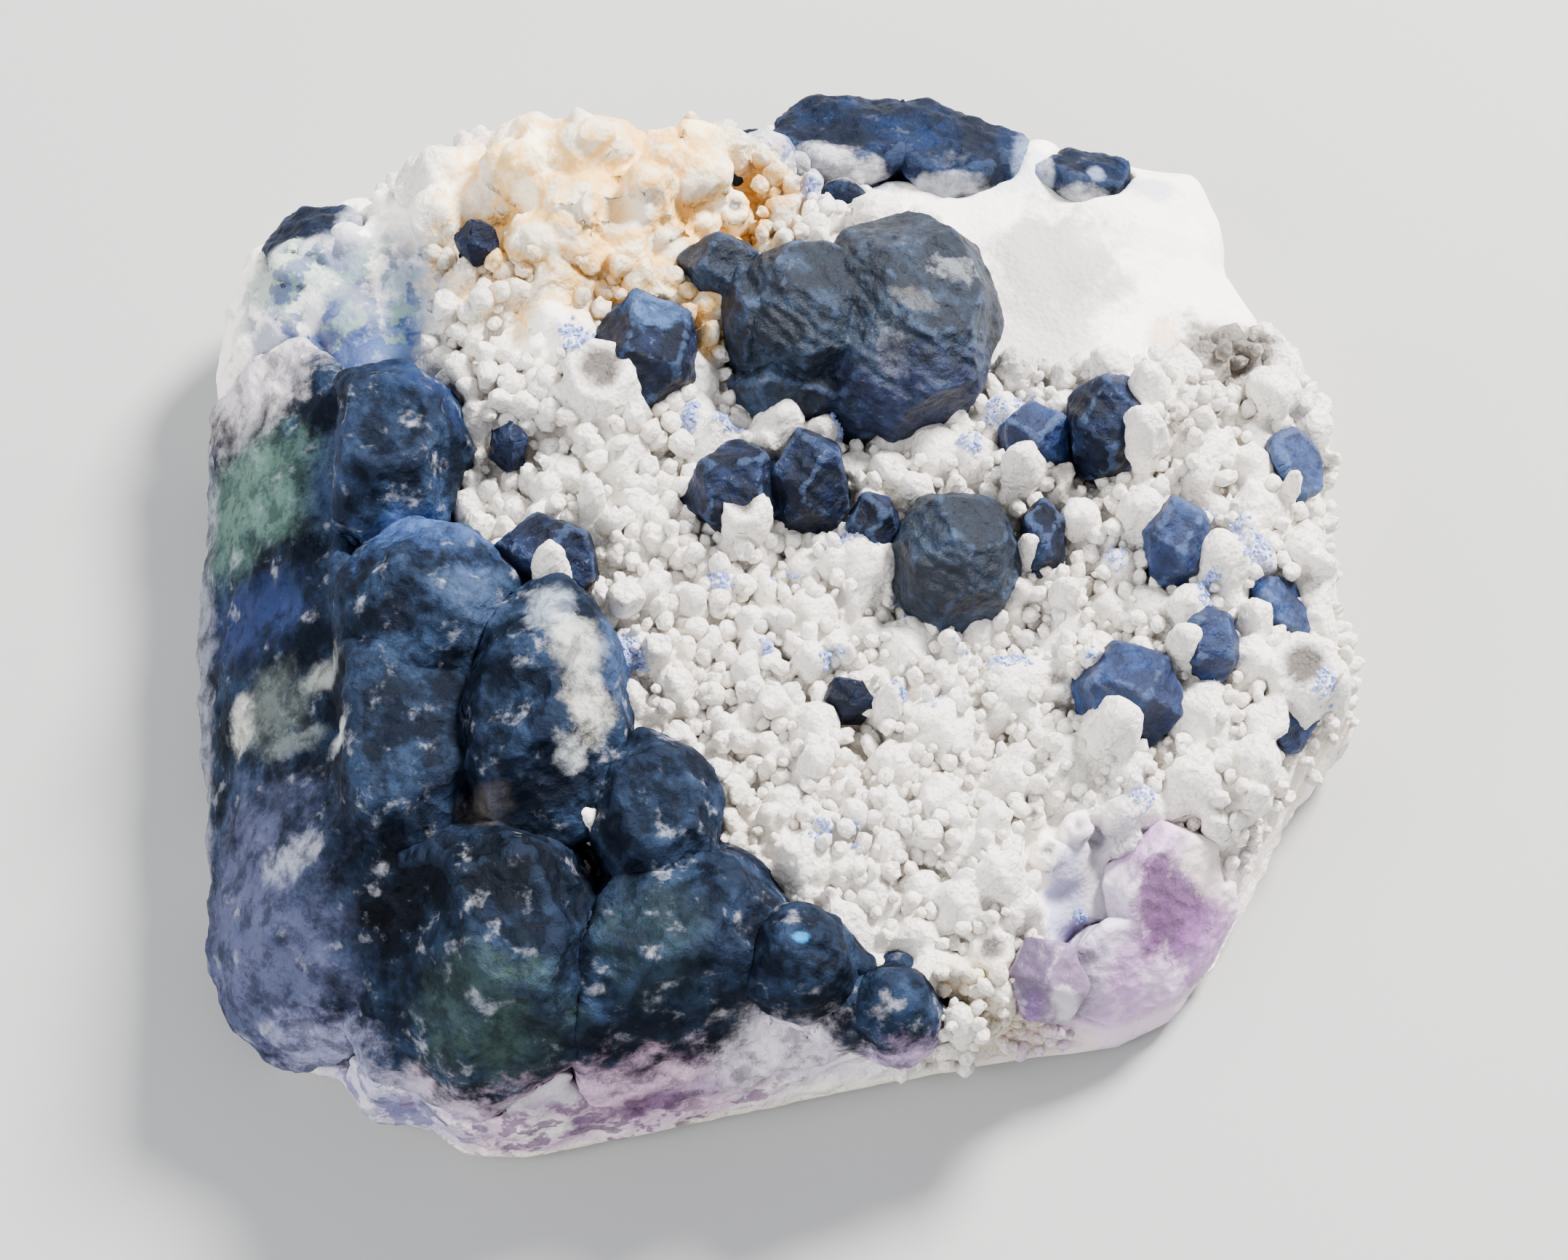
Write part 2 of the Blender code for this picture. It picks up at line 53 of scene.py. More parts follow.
# swells of the floor that the druse stands on: middle x, y, reach and height, mm
floorSwells = [
    (-10, 20, 8, 3.2), (19, 17, 10, 1.6), (6, -4, 13, -1.6), (24, 1, 9, 1), (21, -23, 8, -2.2),
    (2, -29, 12, -1.8), (-27, 16, 8, -0.6),
]

# the larger quartz points seen in the picture: x, y, radius and, for some, kind, height and lean x and y, mm
# kinds: p pointed, r rounded (the usual one), b broken off with a grey middle; height 0 is the usual one too
seenPoints = [
    (-9.9, 8.8, 2.4, "b", 6.6), (-12.2, 8.2, 1.2, "r", 4.6), (-10.9, 6.6, 1.2, "r", 4.4),
    (-8, 7.4, 1, "r", 4.8, 0.1, 0.1), (-8.1, 10.6, 1.2, "r", 5.4, 0, 0.1), (-11.9, 10.6, 1.3, "r", 4.8),
    (-4.9, 10.2, 1.8, "r", 0, 0.1, 0.3), (-3.9, 6.2, 1.7, "p", 4.2, 0.3, 0.4),
    (-17.2, 7.2, 1.2, "p", 0, 0, 0.4), (-9.2, 5.5, 2.1), (-6.4, 7.8, 0.9),
    (0, 7.4, 1.5, "r", 5.2, 0.3, 0.1), (2.7, 6.9, 1.1, "r", 5), (-1.8, 1.3, 1.6, "b", 6.6),
    (-4.6, 2.1, 1.3, "p", 0, 0, 0.2), (-8, 2.1, 1.5, "p", 0, -0.1, 0.3), (-6.5, 3.8, 1),
    (-12.6, -3.5, 1.2, "r", 7.6, 0.05, 0.12), (1.4, 1.3, 1, "b", 0, 0.1, 0.2), (-1, -0.1, 1.3),
    (1.7, -0.7, 1.3), (-4.1, -1.9, 1, "p", 0, 0, 0.2), (-6.5, -2.5, 1.1, "p", 0, -0.1, 0.2),
    (-7.7, -0.6, 1, "p", 0, -0.3, 0.1), (5.1, -0.5, 2.2, "r", 5), (2.1, -3.7, 1.8), (4.6, -2.8, 1.1),
    (-0.2, -7.7, 1.1, "p", 0, 0.7, 0.1), (-5.1, -6.6, 1, "p", 0, 0, 0.3), (-5.5, -8.7, 1.3),
    (-9.1, -7.2, 1.2, "r", 0, -0.1, 0.2), (-8, -9.6, 0.9, "r", 0, -0.1, 0.3),
    (2.1, -10.8, 1.7, "r", 0, 0.2, 0.1), (5.6, -7.6, 1.1), (-0.4, -13.2, 0.6), (-2.9, -10.8, 0.8),
    (6.4, 7.1, 1.4, "r", 0, 0, 0.2), (9.4, 6.4, 2), (14.2, 4.7, 1.4, "r", 6.4), (21, 6.2, 1.5, "r", 7.4),
    (23.7, 9.5, 1.8), (24.2, 5.4, 1.7), (27.4, 5.8, 1.4), (19.5, 3.7, 1), (17.4, 3.5, 0.8),
    (21, 1.9, 1.6, "r", 5.4), (25.3, -1.2, 1.7, "r", 6, 0, 0.1), (27.8, 3, 1.7), (30, 0.5, 1.4),
    (19.6, -0.8, 1.3), (16, -1.3, 1.1), (16.2, -5, 1.3, "p", 0, 0.7, 0.6), (18.4, -5.4, 1), (20.8, -5.8, 1),
    (21.2, -3.2, 1.4), (23.1, -6.4, 1.2, "r", 6.2), (26.8, -6.3, 1.7), (29.8, -7.2, 2.3, "b"),
    (24, -9.6, 2.1), (18.8, -11.2, 1.7, "r", 6.6, 0.2, 0), (19.7, -12.8, 1.5), (15.9, -7.8, 1.1, "b"),
    (13.2, -7.8, 1.9), (10, -7.9, 1.5, "p", 0, 0, 0.2), (7.5, -5.7, 2.1), (11.3, -4.1, 1.5),
    (13.5, -3.3, 1, "p", 0, 0, 0.3), (9.2, -10.7, 2.1), (12.6, -9.3, 1.1), (6.8, -12.9, 1.6),
    (10.2, -12.9, 0.9, "b"), (13.9, -12.2, 1.1), (16.1, -11.8, 1.3), (23.5, -13.3, 1.9), (27, -12.3, 1.7),
    (0.6, -15.6, 1.4), (3.8, -14.7, 1.1), (6.3, -15.7, 1.4), (1.5, -18.9, 1.9),
    (-0.5, -19.6, 0.8, "p", 0, 0, 0.3), (6.3, -17.9, 1.4), (9.8, -17.9, 1.3), (-2.5, -19, 0.8),
    (-1.6, -20.4, 0.8), (5.8, -21.2, 1.4, "p", 0, -0.1, 0.3), (8.1, -20.3, 1.3),
    (4, -22.6, 1.7, "r", 0, -0.2, 0.2), (7.8, -23, 1.4), (8.1, -25.4, 1.1), (11.9, -23.9, 1.4, "b"),
    (9.9, -25, 1), (10.1, -27.8, 1.1), (12.3, -26.1, 1.1), (5.6, -24.8, 0.8), (-0.3, -22.6, 1.4),
    (10.6, -14.8, 0.7, "b"), (14.4, -15.7, 0.8, "b"), (16.7, -16.5, 0.9, "b", 0, 0.2, 0.1),
    (13, -18, 1, "b"), (15.2, -17.9, 1, "b"), (-10.4, -18, 1, "r", 5.6), (-9.1, -17.4, 0.9, "r", 5.6),
    (-11.3, -18.6, 0.6, "r", 5), (-19.5, 20.4, 1.9), (-20.1, 19.4, 1.1, "b"), (-13.5, 17.6, 2.3),
    (-12.4, 14.9, 2.1), (-7.9, 15.3, 1.8, "p", 0, 0.2, 0.3), (-3.8, 14.7, 1.7), (-5.8, 13.8, 0.9, "b"),
    (-12.9, 12.1, 2.5), (-15.5, 13.4, 0.8), (-2.4, 21.1, 1, "b"), (-14.3, 22.6, 3, "r", 5.2),
    (-10.6, 23, 2.5, "r", 6), (-5.4, 22.8, 2.9, "r", 5.8), (-11.2, 18.5, 2.5, "r", 5.4),
    (-7.6, 20, 2, "r", 5.8), (-16.9, 22, 1.9, "r", 3.4), (-17.9, 23.8, 1.7, "r", 2.8),
    (-20.7, 23.5, 1.6, "r", 2.6), (-6.5, 18.7, 1.9, "r", 3.4), (-4.9, 20.4, 1.6, "r", 3.2),
    (21.3, 8.9, 1.4, "r", 7.6), (-0.6, 25.8, 0.8, "r", 1.4), (2.2, 25, 0.7, "r", 1.2),
    (5.4, 24.2, 0.6, "p", 1.4), (-25.2, 20, 1.2, "r", 0.3), (-27.9, 19, 1.6, "r", 0.6),
    (14.5, -0.4, 0.9, "r", 5.8), (27.2, -4.2, 1.2, "r", 4.6),
]
crustSpots = [  # x, y and reach of the periwinkle grains on the quartz, mm
    (1.7, 9, 1), (-8.4, -6.8, 1), (-7.9, -7.8, 0.9), (10.8, -6.5, 1), (12.7, -6.5, 1.1), (13.9, -6.5, 0.9),
    (11.3, -2.6, 1), (7.9, -2.8, 1.5), (5.2, 1.2, 1.5), (3.9, 0.6, 1.2), (-0.1, -6.6, 0.8), (3.3, -7, 0.9),
    (0.6, -1.8, 0.9), (-4.9, 7.4, 0.9), (-2.6, 7.6, 1.2), (7.2, -8.9, 1), (8.7, -8.8, 1), (20.4, -14.8, 1),
    (23.9, 2.2, 1.4), (25.9, 1.6, 1.3), (27.2, -0.2, 1.4), (19.3, -0.4, 1.1), (17.5, -0.3, 1),
    (16.2, -20.4, 1.2), (16.8, -21, 1), (16.1, -22.6, 1.4), (17.8, -8, 1.2), (21.6, -10, 1.1),
    (-3.2, -2.6, 0.9), (4.2, -17.6, 1), (2.5, -17.6, 1), (3.9, 7.5, 1), (12.8, 8.7, 1.1), (11.2, 6.2, 0.9),
    (31, -8.2, 1), (2.4, 22.6, 1), (24.6, -3.2, 1.2), (14.6, 9.4, 1), (-11.4, 11.2, 1.2),
]
pointProfiles = {  # share of the height and of the radius, from the foot up; the last is the middle
    "p": [(0, 0.86), (0.3, 0.98), (0.55, 1.0), (0.72, 0.86), (0.87, 0.52), (0.96, 0.22), (1.0, 0)],
    "r": [(0, 0.88), (0.3, 1.0), (0.55, 1.02), (0.72, 0.94), (0.86, 0.72), (0.96, 0.38), (1.0, 0)],
    "b": [(0, 0.88), (0.3, 1.0), (0.6, 1.0), (0.82, 0.93), (0.91, 0.78), (0.91, 0.54), (0.88, 0)],
}


def linear(red, green, blue):  # 0 to 255 as seen, to the shader's own values
    shares = [value / 255 for value in (red, green, blue)]
    return tuple(s / 12.92 if s < 0.0431 else ((s + 0.055) / 1.055) ** 2.4 for s in shares)


# Meshes

def linked(name, mesh):
    obj = bpy.data.objects.new(name, mesh)
    bpy.context.scene.collection.objects.link(obj)
    return obj


def copyOfNode(node, name):
    mesh = bpy.data.meshes.new(name)
    bm = bmesh.new()
    bm.from_mesh(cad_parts[node].data)
    bmesh.ops.remove_doubles(bm, verts=bm.verts, dist=1e-6)
    bm.to_mesh(mesh)
    bm.free()
    for attribute in [a.name for a in mesh.attributes if a.name.startswith(("custom", "UV", "sharp"))]:
        mesh.attributes.remove(mesh.attributes[attribute])
    return linked(name, mesh)


def applied(obj):
    graph = bpy.context.evaluated_depsgraph_get()
    made = bpy.data.meshes.new_from_object(obj.evaluated_get(graph))
    made.name = obj.name
    obj.modifiers.clear()
    old = obj.data
    obj.data = made
    bpy.data.meshes.remove(old)
    return obj


def remeshed(obj, grain):
    skin = obj.modifiers.new("Skin", "REMESH")
    skin.mode = "VOXEL"
    skin.voxel_size = grain * mm
    return applied(obj)


def relief(obj, kind, size, height, group="", level=0.5, **more):  # raises the surface by a texture, mm
    texture = bpy.data.textures.new(kind.lower(), kind)
    texture.noise_scale = size * mm
    for key, value in more.items():
        setattr(texture, key, value)
    push = obj.modifiers.new("Relief", "DISPLACE")
    push.texture = texture
    push.texture_coords = "LOCAL"
    push.strength = height * mm
    push.mid_level = level
    push.vertex_group = group


def swell(obj, amount):
    push = obj.modifiers.new("Swell", "DISPLACE")
    push.strength = amount * mm
    push.mid_level = 0.0


def smoothOut(obj, times, group=""):
    even = obj.modifiers.new("Even", "SMOOTH")
    even.factor = 0.5
    even.iterations = times
    even.vertex_group = group


def thinned(obj, most):
    triangles = sum(len(p.vertices) - 2 for p in obj.data.polygons)
    if triangles > most:
        thin = obj.modifiers.new("Thin", "DECIMATE")
        thin.ratio = most / triangles
        applied(obj)
    return obj


def shadeSmooth(obj):
    obj.data.polygons.foreach_set("use_smooth", np.ones(len(obj.data.polygons), bool))
    return obj


def pointsOf(mesh):
    flat = np.empty(len(mesh.vertices) * 3, np.float32)
    mesh.vertices.foreach_get("co", flat)
    return flat.reshape(-1, 3) / mm


def normalsOf(mesh):
    flat = np.empty(len(mesh.vertices) * 3, np.float32)
    mesh.vertex_normals.foreach_get("vector", flat)
    return flat.reshape(-1, 3)


def store(mesh, name, values):
    attribute = mesh.attributes.get(name) or mesh.attributes.new(name, "FLOAT", "POINT")
    attribute.data.foreach_set("value", values.astype(np.float32))


def group(obj, name, values):
    made = obj.vertex_groups.new(name=name)
    steps = np.round(np.clip(values, 0, 1) * 20).astype(int)
    for step in range(21):
        made.add(np.nonzero(steps == step)[0].tolist(), step / 20, "REPLACE")


def smoothStep(low, high, values):
    share = np.clip((values - low) / (high - low), 0, 1)
    return share * share * (3 - 2 * share)


def heightsAround(points, cell, reach):  # mean height of the top surface near each point
    cols = np.floor((points[:, 0] + 40) / cell).astype(int)
    rows = np.floor((points[:, 1] + 40) / cell).astype(int)
    size = int(80 / cell) + 1
    total, count = np.zeros((size, size)), np.zeros((size, size))
    upper = points[:, 2] > 3
    np.add.at(total, (cols[upper], rows[upper]), points[upper, 2])
    np.add.at(count, (cols[upper], rows[upper]), 1)
    for _ in range(reach):
        for axis in (0, 1):
            total = total + np.roll(total, 1, axis) + np.roll(total, -1, axis)
            count = count + np.roll(count, 1, axis) + np.roll(count, -1, axis)
    return (total / np.maximum(count, 1e-6))[cols, rows]


# Shader building

def material(name):
    made = bpy.data.materials.new(name)
    made.use_nodes = True
    return made, made.node_tree, made.node_tree.nodes["Principled BSDF"]


def add(tree, kind, inputs, output=0, **settings):
    made = tree.nodes.new(kind)
    for key, value in settings.items():
        setattr(made, key, value)
    for key, value in inputs.items():
        if isinstance(value, bpy.types.NodeSocket):
            tree.links.new(value, made.inputs[key])
        else:
            made.inputs[key].default_value = value
    return made.outputs[output]


def placeIn(tree):
    return add(tree, "ShaderNodeTexCoord", {}, "Object")


def grainOf(tree, place, size, detail=4.0, roughness=0.55, output=0):  # noise with grains of that size, mm
    values = {"Vector": place, "Scale": 1 / (size * mm), "Detail": detail, "Roughness": roughness}
    return add(tree, "ShaderNodeTexNoise", values, output)


def cellsOf(tree, place, size, feature="F1", output=0):
    values = {"Vector": place, "Scale": 1 / (size * mm)}
    return add(tree, "ShaderNodeTexVoronoi", values, output, feature=feature)


def between(tree, value, low, high, toLow=0.0, toHigh=1.0):
    values = {0: value, 1: low, 2: high, 3: toLow, 4: toHigh}
    return add(tree, "ShaderNodeMapRange", values, interpolation_type="SMOOTHSTEP")


def times(tree, first, second):
    return add(tree, "ShaderNodeMath", {0: first, 1: second}, operation="MULTIPLY")


def mixed(tree, share, first, second):
    colours = {6: first, 7: second}
    colours = {k: (*v, 1.0) if isinstance(v, tuple) else v for k, v in colours.items()}
    return add(tree, "ShaderNodeMix", {0: share, **colours}, 2, data_type="RGBA")


def wobbled(tree, place, size, amount):  # the place pushed about by noise, for ragged borders
    noise = grainOf(tree, place, size, 5.0, 0.6, 1)
    centred = add(tree, "ShaderNodeVectorMath", {0: noise, 1: (0.5, 0.5, 0.5)}, operation="SUBTRACT")
    scaled = add(tree, "ShaderNodeVectorMath", {0: centred, "Scale": 2 * amount * mm}, operation="SCALE")
    return add(tree, "ShaderNodeVectorMath", {0: place, 1: scaled}, operation="ADD")


def zoneShare(tree, place, middle, half, border, strength=1.0):  # the strength inside an ellipsoid, 0 outside
    scale = tuple(1 / (h * mm) for h in half)
    shift = tuple(-m / h for m, h in zip(middle, half))
    ratio = add(tree, "ShaderNodeVectorMath", {0: place, 1: scale, 2: shift}, operation="MULTIPLY_ADD")
    length = add(tree, "ShaderNodeVectorMath", {0: ratio}, 1, operation="LENGTH")
    return between(tree, length, *border, strength, 0.0)


def raggedBorder(tree, place, size, amount, soft):  # where zones start and end to fade, uneven by noise
    noise = grainOf(tree, place, size, 7.0, 0.68)
    ends = [{0: noise, 1: -amount, 2: 1 + side * soft + 0.5 * amount} for side in (-1, 1)]
    return [add(tree, "ShaderNodeMath", end, operation="MULTIPLY_ADD") for end in ends]


def zoned(tree, colour, place, zones, size, amount, soft):  # each zone's colour over what is below it
    border = raggedBorder(tree, place, size, amount, soft)
    for middle, half, shade, strength in zones:
        share = zoneShare(tree, place, middle, half, border, strength)
        colour = mixed(tree, share, colour, linear(*shade))
    return colour


def attributeOf(tree, name):
    return add(tree, "ShaderNodeAttribute", {}, "Fac", attribute_name=name)


def bumped(tree, shader, heights):  # heights: value and how far it stands up, mm
    normal = None
    for value, depth in heights:
        inputs = {"Height": value, "Distance": depth * mm, "Strength": 1.0}
        if normal is not None:
            inputs["Normal"] = normal
        normal = add(tree, "ShaderNodeBump", inputs)
    tree.links.new(normal, shader.inputs["Normal"])


# White quartz, chalky on its points and smooth where the slab is ground

quartzZones = [
    ((-5.4, 23.2, 16), (3.8, 3.4, 6), (248, 222, 156), 0.7),
    ((-11.6, 18.6, 15), (3.4, 2.6, 6), (244, 216, 164), 0.45),
    ((-12.9, 24.2, 16), (2.6, 1.2, 4), (176, 170, 160), 0.6),
    ((-11.2, 20.9, 16), (2.4, 0.8, 4), (190, 182, 168), 0.5),
    ((-14.2, 17, 15), (1.7, 0.9, 4), (156, 160, 176), 0.5),
    ((-6.2, 19, 15), (0.9, 0.9, 4), (160, 140, 128), 0.5),
    ((-2.2, 21.6, 13), (1.2, 2.6, 5), (150, 158, 170), 0.7),
    ((11.5, -25.6, 8), (4.6, 2.2, 5), (232, 202, 138), 0.4),
    ((-2.6, -20, 12), (3, 5, 5), (226, 208, 178), 0.3),
    ((16.8, 19.4, 12), (4, 4.4, 6), (160, 156, 154), 0.9),
    ((15.2, 13.6, 13), (4, 3, 6), (186, 184, 184), 0.8),
    ((26.2, 13.8, 9), (3.4, 2.8, 9), (98, 92, 86), 0.95),
    # these two: painted shadow, grey where shade falls between the crystals
    ((15.8, 7.2, 12), (1.5, 2.6, 5), (122, 116, 112), 0.75),
    ((16.8, 3.8, 12), (1.3, 1.4, 5), (116, 108, 102), 0.6),
    ((22.8, 14.8, 10), (1, 1.2, 5), (216, 186, 164), 0.7),
    ((22, 21.6, 10), (5, 1, 5), (206, 204, 204), 0.4),
    ((24, 8.6, 12), (2.2, 1.6, 5), (180, 180, 184), 0.35),
    ((29.6, 11, 8), (2.4, 2, 6), (196, 192, 190), 0.4),
    ((2.9, 26.2, 11), (6.4, 2, 6), (50, 76, 130), 0.7),
    ((4.2, 23.6, 12), (2.6, 0.7, 5), (60, 88, 146), 0.75),
    ((14.8, 26.4, 11), (2, 1.4, 6), (130, 148, 186), 0.45),
    ((22.6, 25.6, 9), (1.6, 1, 6), (96, 124, 164), 0.5),
    ((-25, 14.4, 11), (3.2, 3.6, 8), (24, 50, 98), 0.9),
    ((-23.6, 11.8, 12), (2.8, 3, 8), (20, 44, 92), 0.9),
    ((-28.4, 18.2, 10), (3, 3, 8), (118, 144, 134), 0.75),
    ((-20.8, 16.4, 11), (2.4, 3.4, 8), (72, 108, 144), 0.8),
    ((-29.6, 14.4, 8), (1.6, 2.2, 8), (44, 70, 122), 0.7),
    ((-21.8, 13.2, 12), (2, 2, 6), (44, 72, 118), 0.75),
    ((-27.4, 15.6, 12), (1, 1.2, 6), (228, 226, 226), 0.6),
    ((-31, 9, 6), (2.4, 5, 8), (214, 206, 206), 0.7),
    ((-18.6, 22, 11), (1.6, 2, 7), (150, 142, 132), 0.35),
    ((18.4, -19.6, 9), (3.2, 4.4, 6), (196, 190, 208), 0.8),
    ((16.2, -20.6, 9), (1.1, 3.4, 5), (156, 160, 212), 0.7),
    ((22, -26.4, 3), (9, 5, 6), (212, 184, 212), 0.85),
    ((28.4, -18.6, 3), (3.6, 5, 6), (232, 220, 226), 0.8),
    ((-10, -30, 9), (14, 4, 3.4), (150, 142, 160), 0.8),
    ((-9, -31, 4.2), (12, 4, 3.2), (196, 162, 188), 0.9),
    ((-21.5, -28.8, 4), (5.4, 4, 4.5), (158, 156, 186), 0.8),
    ((4, -30, 6.4), (6.4, 3, 3.2), (206, 194, 214), 0.7),
    ((-7, -31, 5.4), (3.4, 3, 1.7), (96, 62, 98), 0.85),
    ((-11.6, -31, 4.4), (1.7, 3, 1.2), (84, 58, 92), 0.8),
    ((-4.4, -31, 4.2), (1.2, 3, 1), (110, 74, 108), 0.7),
    ((-9.2, -31, 2.6), (1, 3, 0.8), (236, 222, 222), 0.7),
    ((-1.6, -31, 5.6), (1.4, 3, 1.6), (124, 88, 120), 0.7),
    ((2.6, -30, 7), (1.2, 3, 1.4), (112, 88, 130), 0.6),
    ((-13, -31, 4.8), (1.8, 3, 1.6), (240, 232, 232), 0.75),
    ((-21, -29.4, 5), (1.6, 2, 1.6), (98, 92, 140), 0.6),
    ((-12.6, -29.4, 7), (3, 2.2, 2.4), (150, 124, 146), 0.75),
    ((0, -31, 0.4), (30, 8, 1.3), (246, 236, 210), 0.75),
    ((-4.2, 1.7, 14), (0.35, 0.5, 2), (110, 62, 34), 0.9),
]
quartzMottles = [  # middle, half sizes, grain, from what level of the noise, colour, strength
    ((-25.4, 14.8, 11), (6, 6.4, 9), 2.6, 0.5, (26, 52, 104), 0.85),
    ((-26.6, 16.2, 11), (6.4, 6.6, 9), 1.9, 0.54, (110, 138, 128), 0.7),
    ((-22, 15, 12), (4, 5.4, 9), 1.3, 0.55, (104, 118, 142), 0.6),
    ((-9, -31, 4.6), (13, 4, 4.2), 1.8, 0.52, (88, 58, 96), 0.8),
    ((-20.4, -29.6, 4.4), (6, 3.4, 4.2), 1.5, 0.5, (78, 80, 122), 0.8),
    ((1.8, 24.4, 12), (4.6, 3, 6), 1.9, 0.52, (40, 64, 118), 0.8),
    ((20, -17.6, 9), (4.2, 4.6, 6), 1.2, 0.56, (150, 146, 160), 0.6),
]
quartz = {
    # shade is a painted shade colour for the low places; cream there is partly a real stain and partly
    # painted shade
    "white": (253, 248, 241), "patch": (244, 238, 231), "cloud": (236, 230, 224), "shade": (230, 216, 202),
    "cream": (230, 204, 168), "glassy": (92, 86, 82), "dust": (146, 162, 214), "straw": (252, 230, 184),
    "grey": (186, 176, 166), "ochre": (232, 188, 104), "amber": (226, 170, 68),
    "shadeShare": 0.35, "creamShare": 0.55, "rustShare": 0.8,
    "edges": (1.6, 1.9, 0.34),  # of its zones: size of the noise, how far it eats in, softness
    "rust": [
        ((-10.5, 20.5, 15), (9, 8, 9)), ((-0.8, 22, 12), (2.6, 3, 6)), ((-5.2, 13.6, 13), (3.2, 2.4, 7)),
    ],
    "zones": quartzZones, "mottles": quartzMottles,
}


def rusted(tree, colour, place, rise):  # straw coloured lumps, some grey, with ochre hollows and seams
    border = raggedBorder(tree, place, 1.6, 1.4, 0.3)
    lumpPlace = wobbled(tree, place, 2.4, 0.5)
    seams = between(tree, cellsOf(tree, lumpPlace, 3.4, "DISTANCE_TO_EDGE"), 0.02, 0.16, 1.0, 0.0)
    greyLumps = between(tree, cellsOf(tree, lumpPlace, 3.4, "F1", 1), 0.52, 0.58, 0.0, 0.6)
    hollow = between(tree, rise, 0.35, 0.8, quartz["rustShare"], 0.0)
    blots = between(tree, grainOf(tree, place, 2.2, 5.0, 0.65), 0.5, 0.64)
    stains = add(tree, "ShaderNodeMath", {0: blots, 1: seams}, operation="MAXIMUM")
    stains = times(tree, stains, quartz["rustShare"])
    layers = [("straw", 0.72), ("grey", greyLumps), ("ochre", hollow), ("amber", stains)]
    for middle, half in quartz["rust"]:
        share = zoneShare(tree, place, middle, half, border)
        for shade, amount in layers:
            colour = mixed(tree, times(tree, share, amount), colour, linear(*quartz[shade]))
    return colour


def quartzMaterial():
    made, tree, shader = material("whiteQuartz")
    place = placeIn(tree)
    rise, glassy, crusty = (attributeOf(tree, name) for name in ("rise", "glassy", "crusty"))
    broad = grainOf(tree, place, 7.0, 5.0, 0.6)
    patchy = grainOf(tree, place, 1.9, 5.0, 0.6)
    fine = grainOf(tree, place, 0.5, 6.0, 0.7)
    patches = between(tree, patchy, 0.4, 0.7)
    colour = mixed(tree, patches, linear(*quartz["white"]), linear(*quartz["patch"]))
    colour = mixed(tree, between(tree, broad, 0.42, 0.64, 0.0, 0.6), colour, linear(*quartz["cloud"]))
    colour = zoned(tree, colour, place, quartz["zones"], *quartz["edges"])
    for middle, half, size, low, shade, strength in quartz["mottles"]:
        share = zoneShare(tree, place, middle, half, (0.7, 1.3), strength)
        blots = between(tree, grainOf(tree, place, size, 5.0, 0.6), low, low + 0.06)
        colour = mixed(tree, times(tree, share, blots), colour, linear(*shade))
    # painted shade: the low places between the points take the darker, warmer shade colour, by the rise
    # attribute
    hollow = between(tree, rise, 0.0, 0.6, quartz["shadeShare"], 0.0)
    colour = mixed(tree, hollow, colour, linear(*quartz["shade"]))
    # partly a real cream stain and partly painted shade: patchy cream in the low places between the points
    low = between(tree, rise, 0.0, 0.5, 1.0, 0.0)
    stainAndShade = times(tree, low, between(tree, patchy, 0.42, 0.62, 0.0, quartz["creamShare"]))
    colour = mixed(tree, stainAndShade, colour, linear(*quartz["cream"]))
    colour = rusted(tree, colour, place, rise)
    dust = times(tree, attributeOf(tree, "crust"), between(tree, fine, 0.44, 0.58, 0.0, 0.8))
    colour = mixed(tree, dust, colour, linear(*quartz["dust"]))
    colour = mixed(tree, glassy, colour, linear(*quartz["glassy"]))
    tree.links.new(colour, shader.inputs["Base Color"])
    tree.links.new(between(tree, glassy, 0.0, 1.0, 0.74, 0.28), shader.inputs["Roughness"])
    shader.subsurface_method = "BURLEY"  # quick to render
    shader.inputs["Subsurface Weight"].default_value = 0.15
    shader.inputs["Subsurface Radius"].default_value = (1.0, 0.85, 0.7)
    shader.inputs["Subsurface Scale"].default_value = 0.8 * mm
    shader.inputs["IOR"].default_value = 1.54
    sugar = times(tree, cellsOf(tree, place, 0.34), crusty)
    lumps = times(tree, grainOf(tree, place, 1.2, 4.0), crusty)
    bumped(tree, shader, [(lumps, 0.34), (sugar, 0.22), (times(tree, fine, crusty), 0.36)])
    return made


# The slab with its large points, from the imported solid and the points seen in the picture

slab = {
    "grain": 0.22, "most": 196000, "floor": 12.0, "fall": 0.085,
    "sides": 14, "sunk": 1.6, "tries": 9000, "packing": 0.8, "kinds": "pprrrrrb", "steepest": 2.2,
    "relief": [  # kind, size and height in mm, where, more
        ("CLOUDS", 1.6, 0.34, "druse", {"noise_depth": 2}),
        ("CLOUDS", 0.5, 0.24, "druse", {"noise_depth": 2}),
        ("CLOUDS", 6.0, 1.0, "mass", {"noise_depth": 1}), ("VORONOI", 3.6, 0.5, "mass", {"level": 0.4}),
        ("VORONOI", 2.9, -1.5, "lumpy", {"level": 0.25, "distance_metric": "DISTANCE_SQUARED"}),
        ("CLOUDS", 1.1, 0.35, "lumpy", {"noise_depth": 3}), ("VORONOI", 2.6, 0.5, "wall", {"level": 0.5}),
        ("CLOUDS", 1.1, 0.45, "wall", {"noise_depth": 3}),
    ],
}


def floorAt(x, y):  # height that the points in the list stand at
    swells = (h * math.exp(-((x - a) ** 2 + (y - b) ** 2) / r**2) for a, b, r, h in floorSwells)
    return slab["floor"] - slab["fall"] * x + sum(swells)


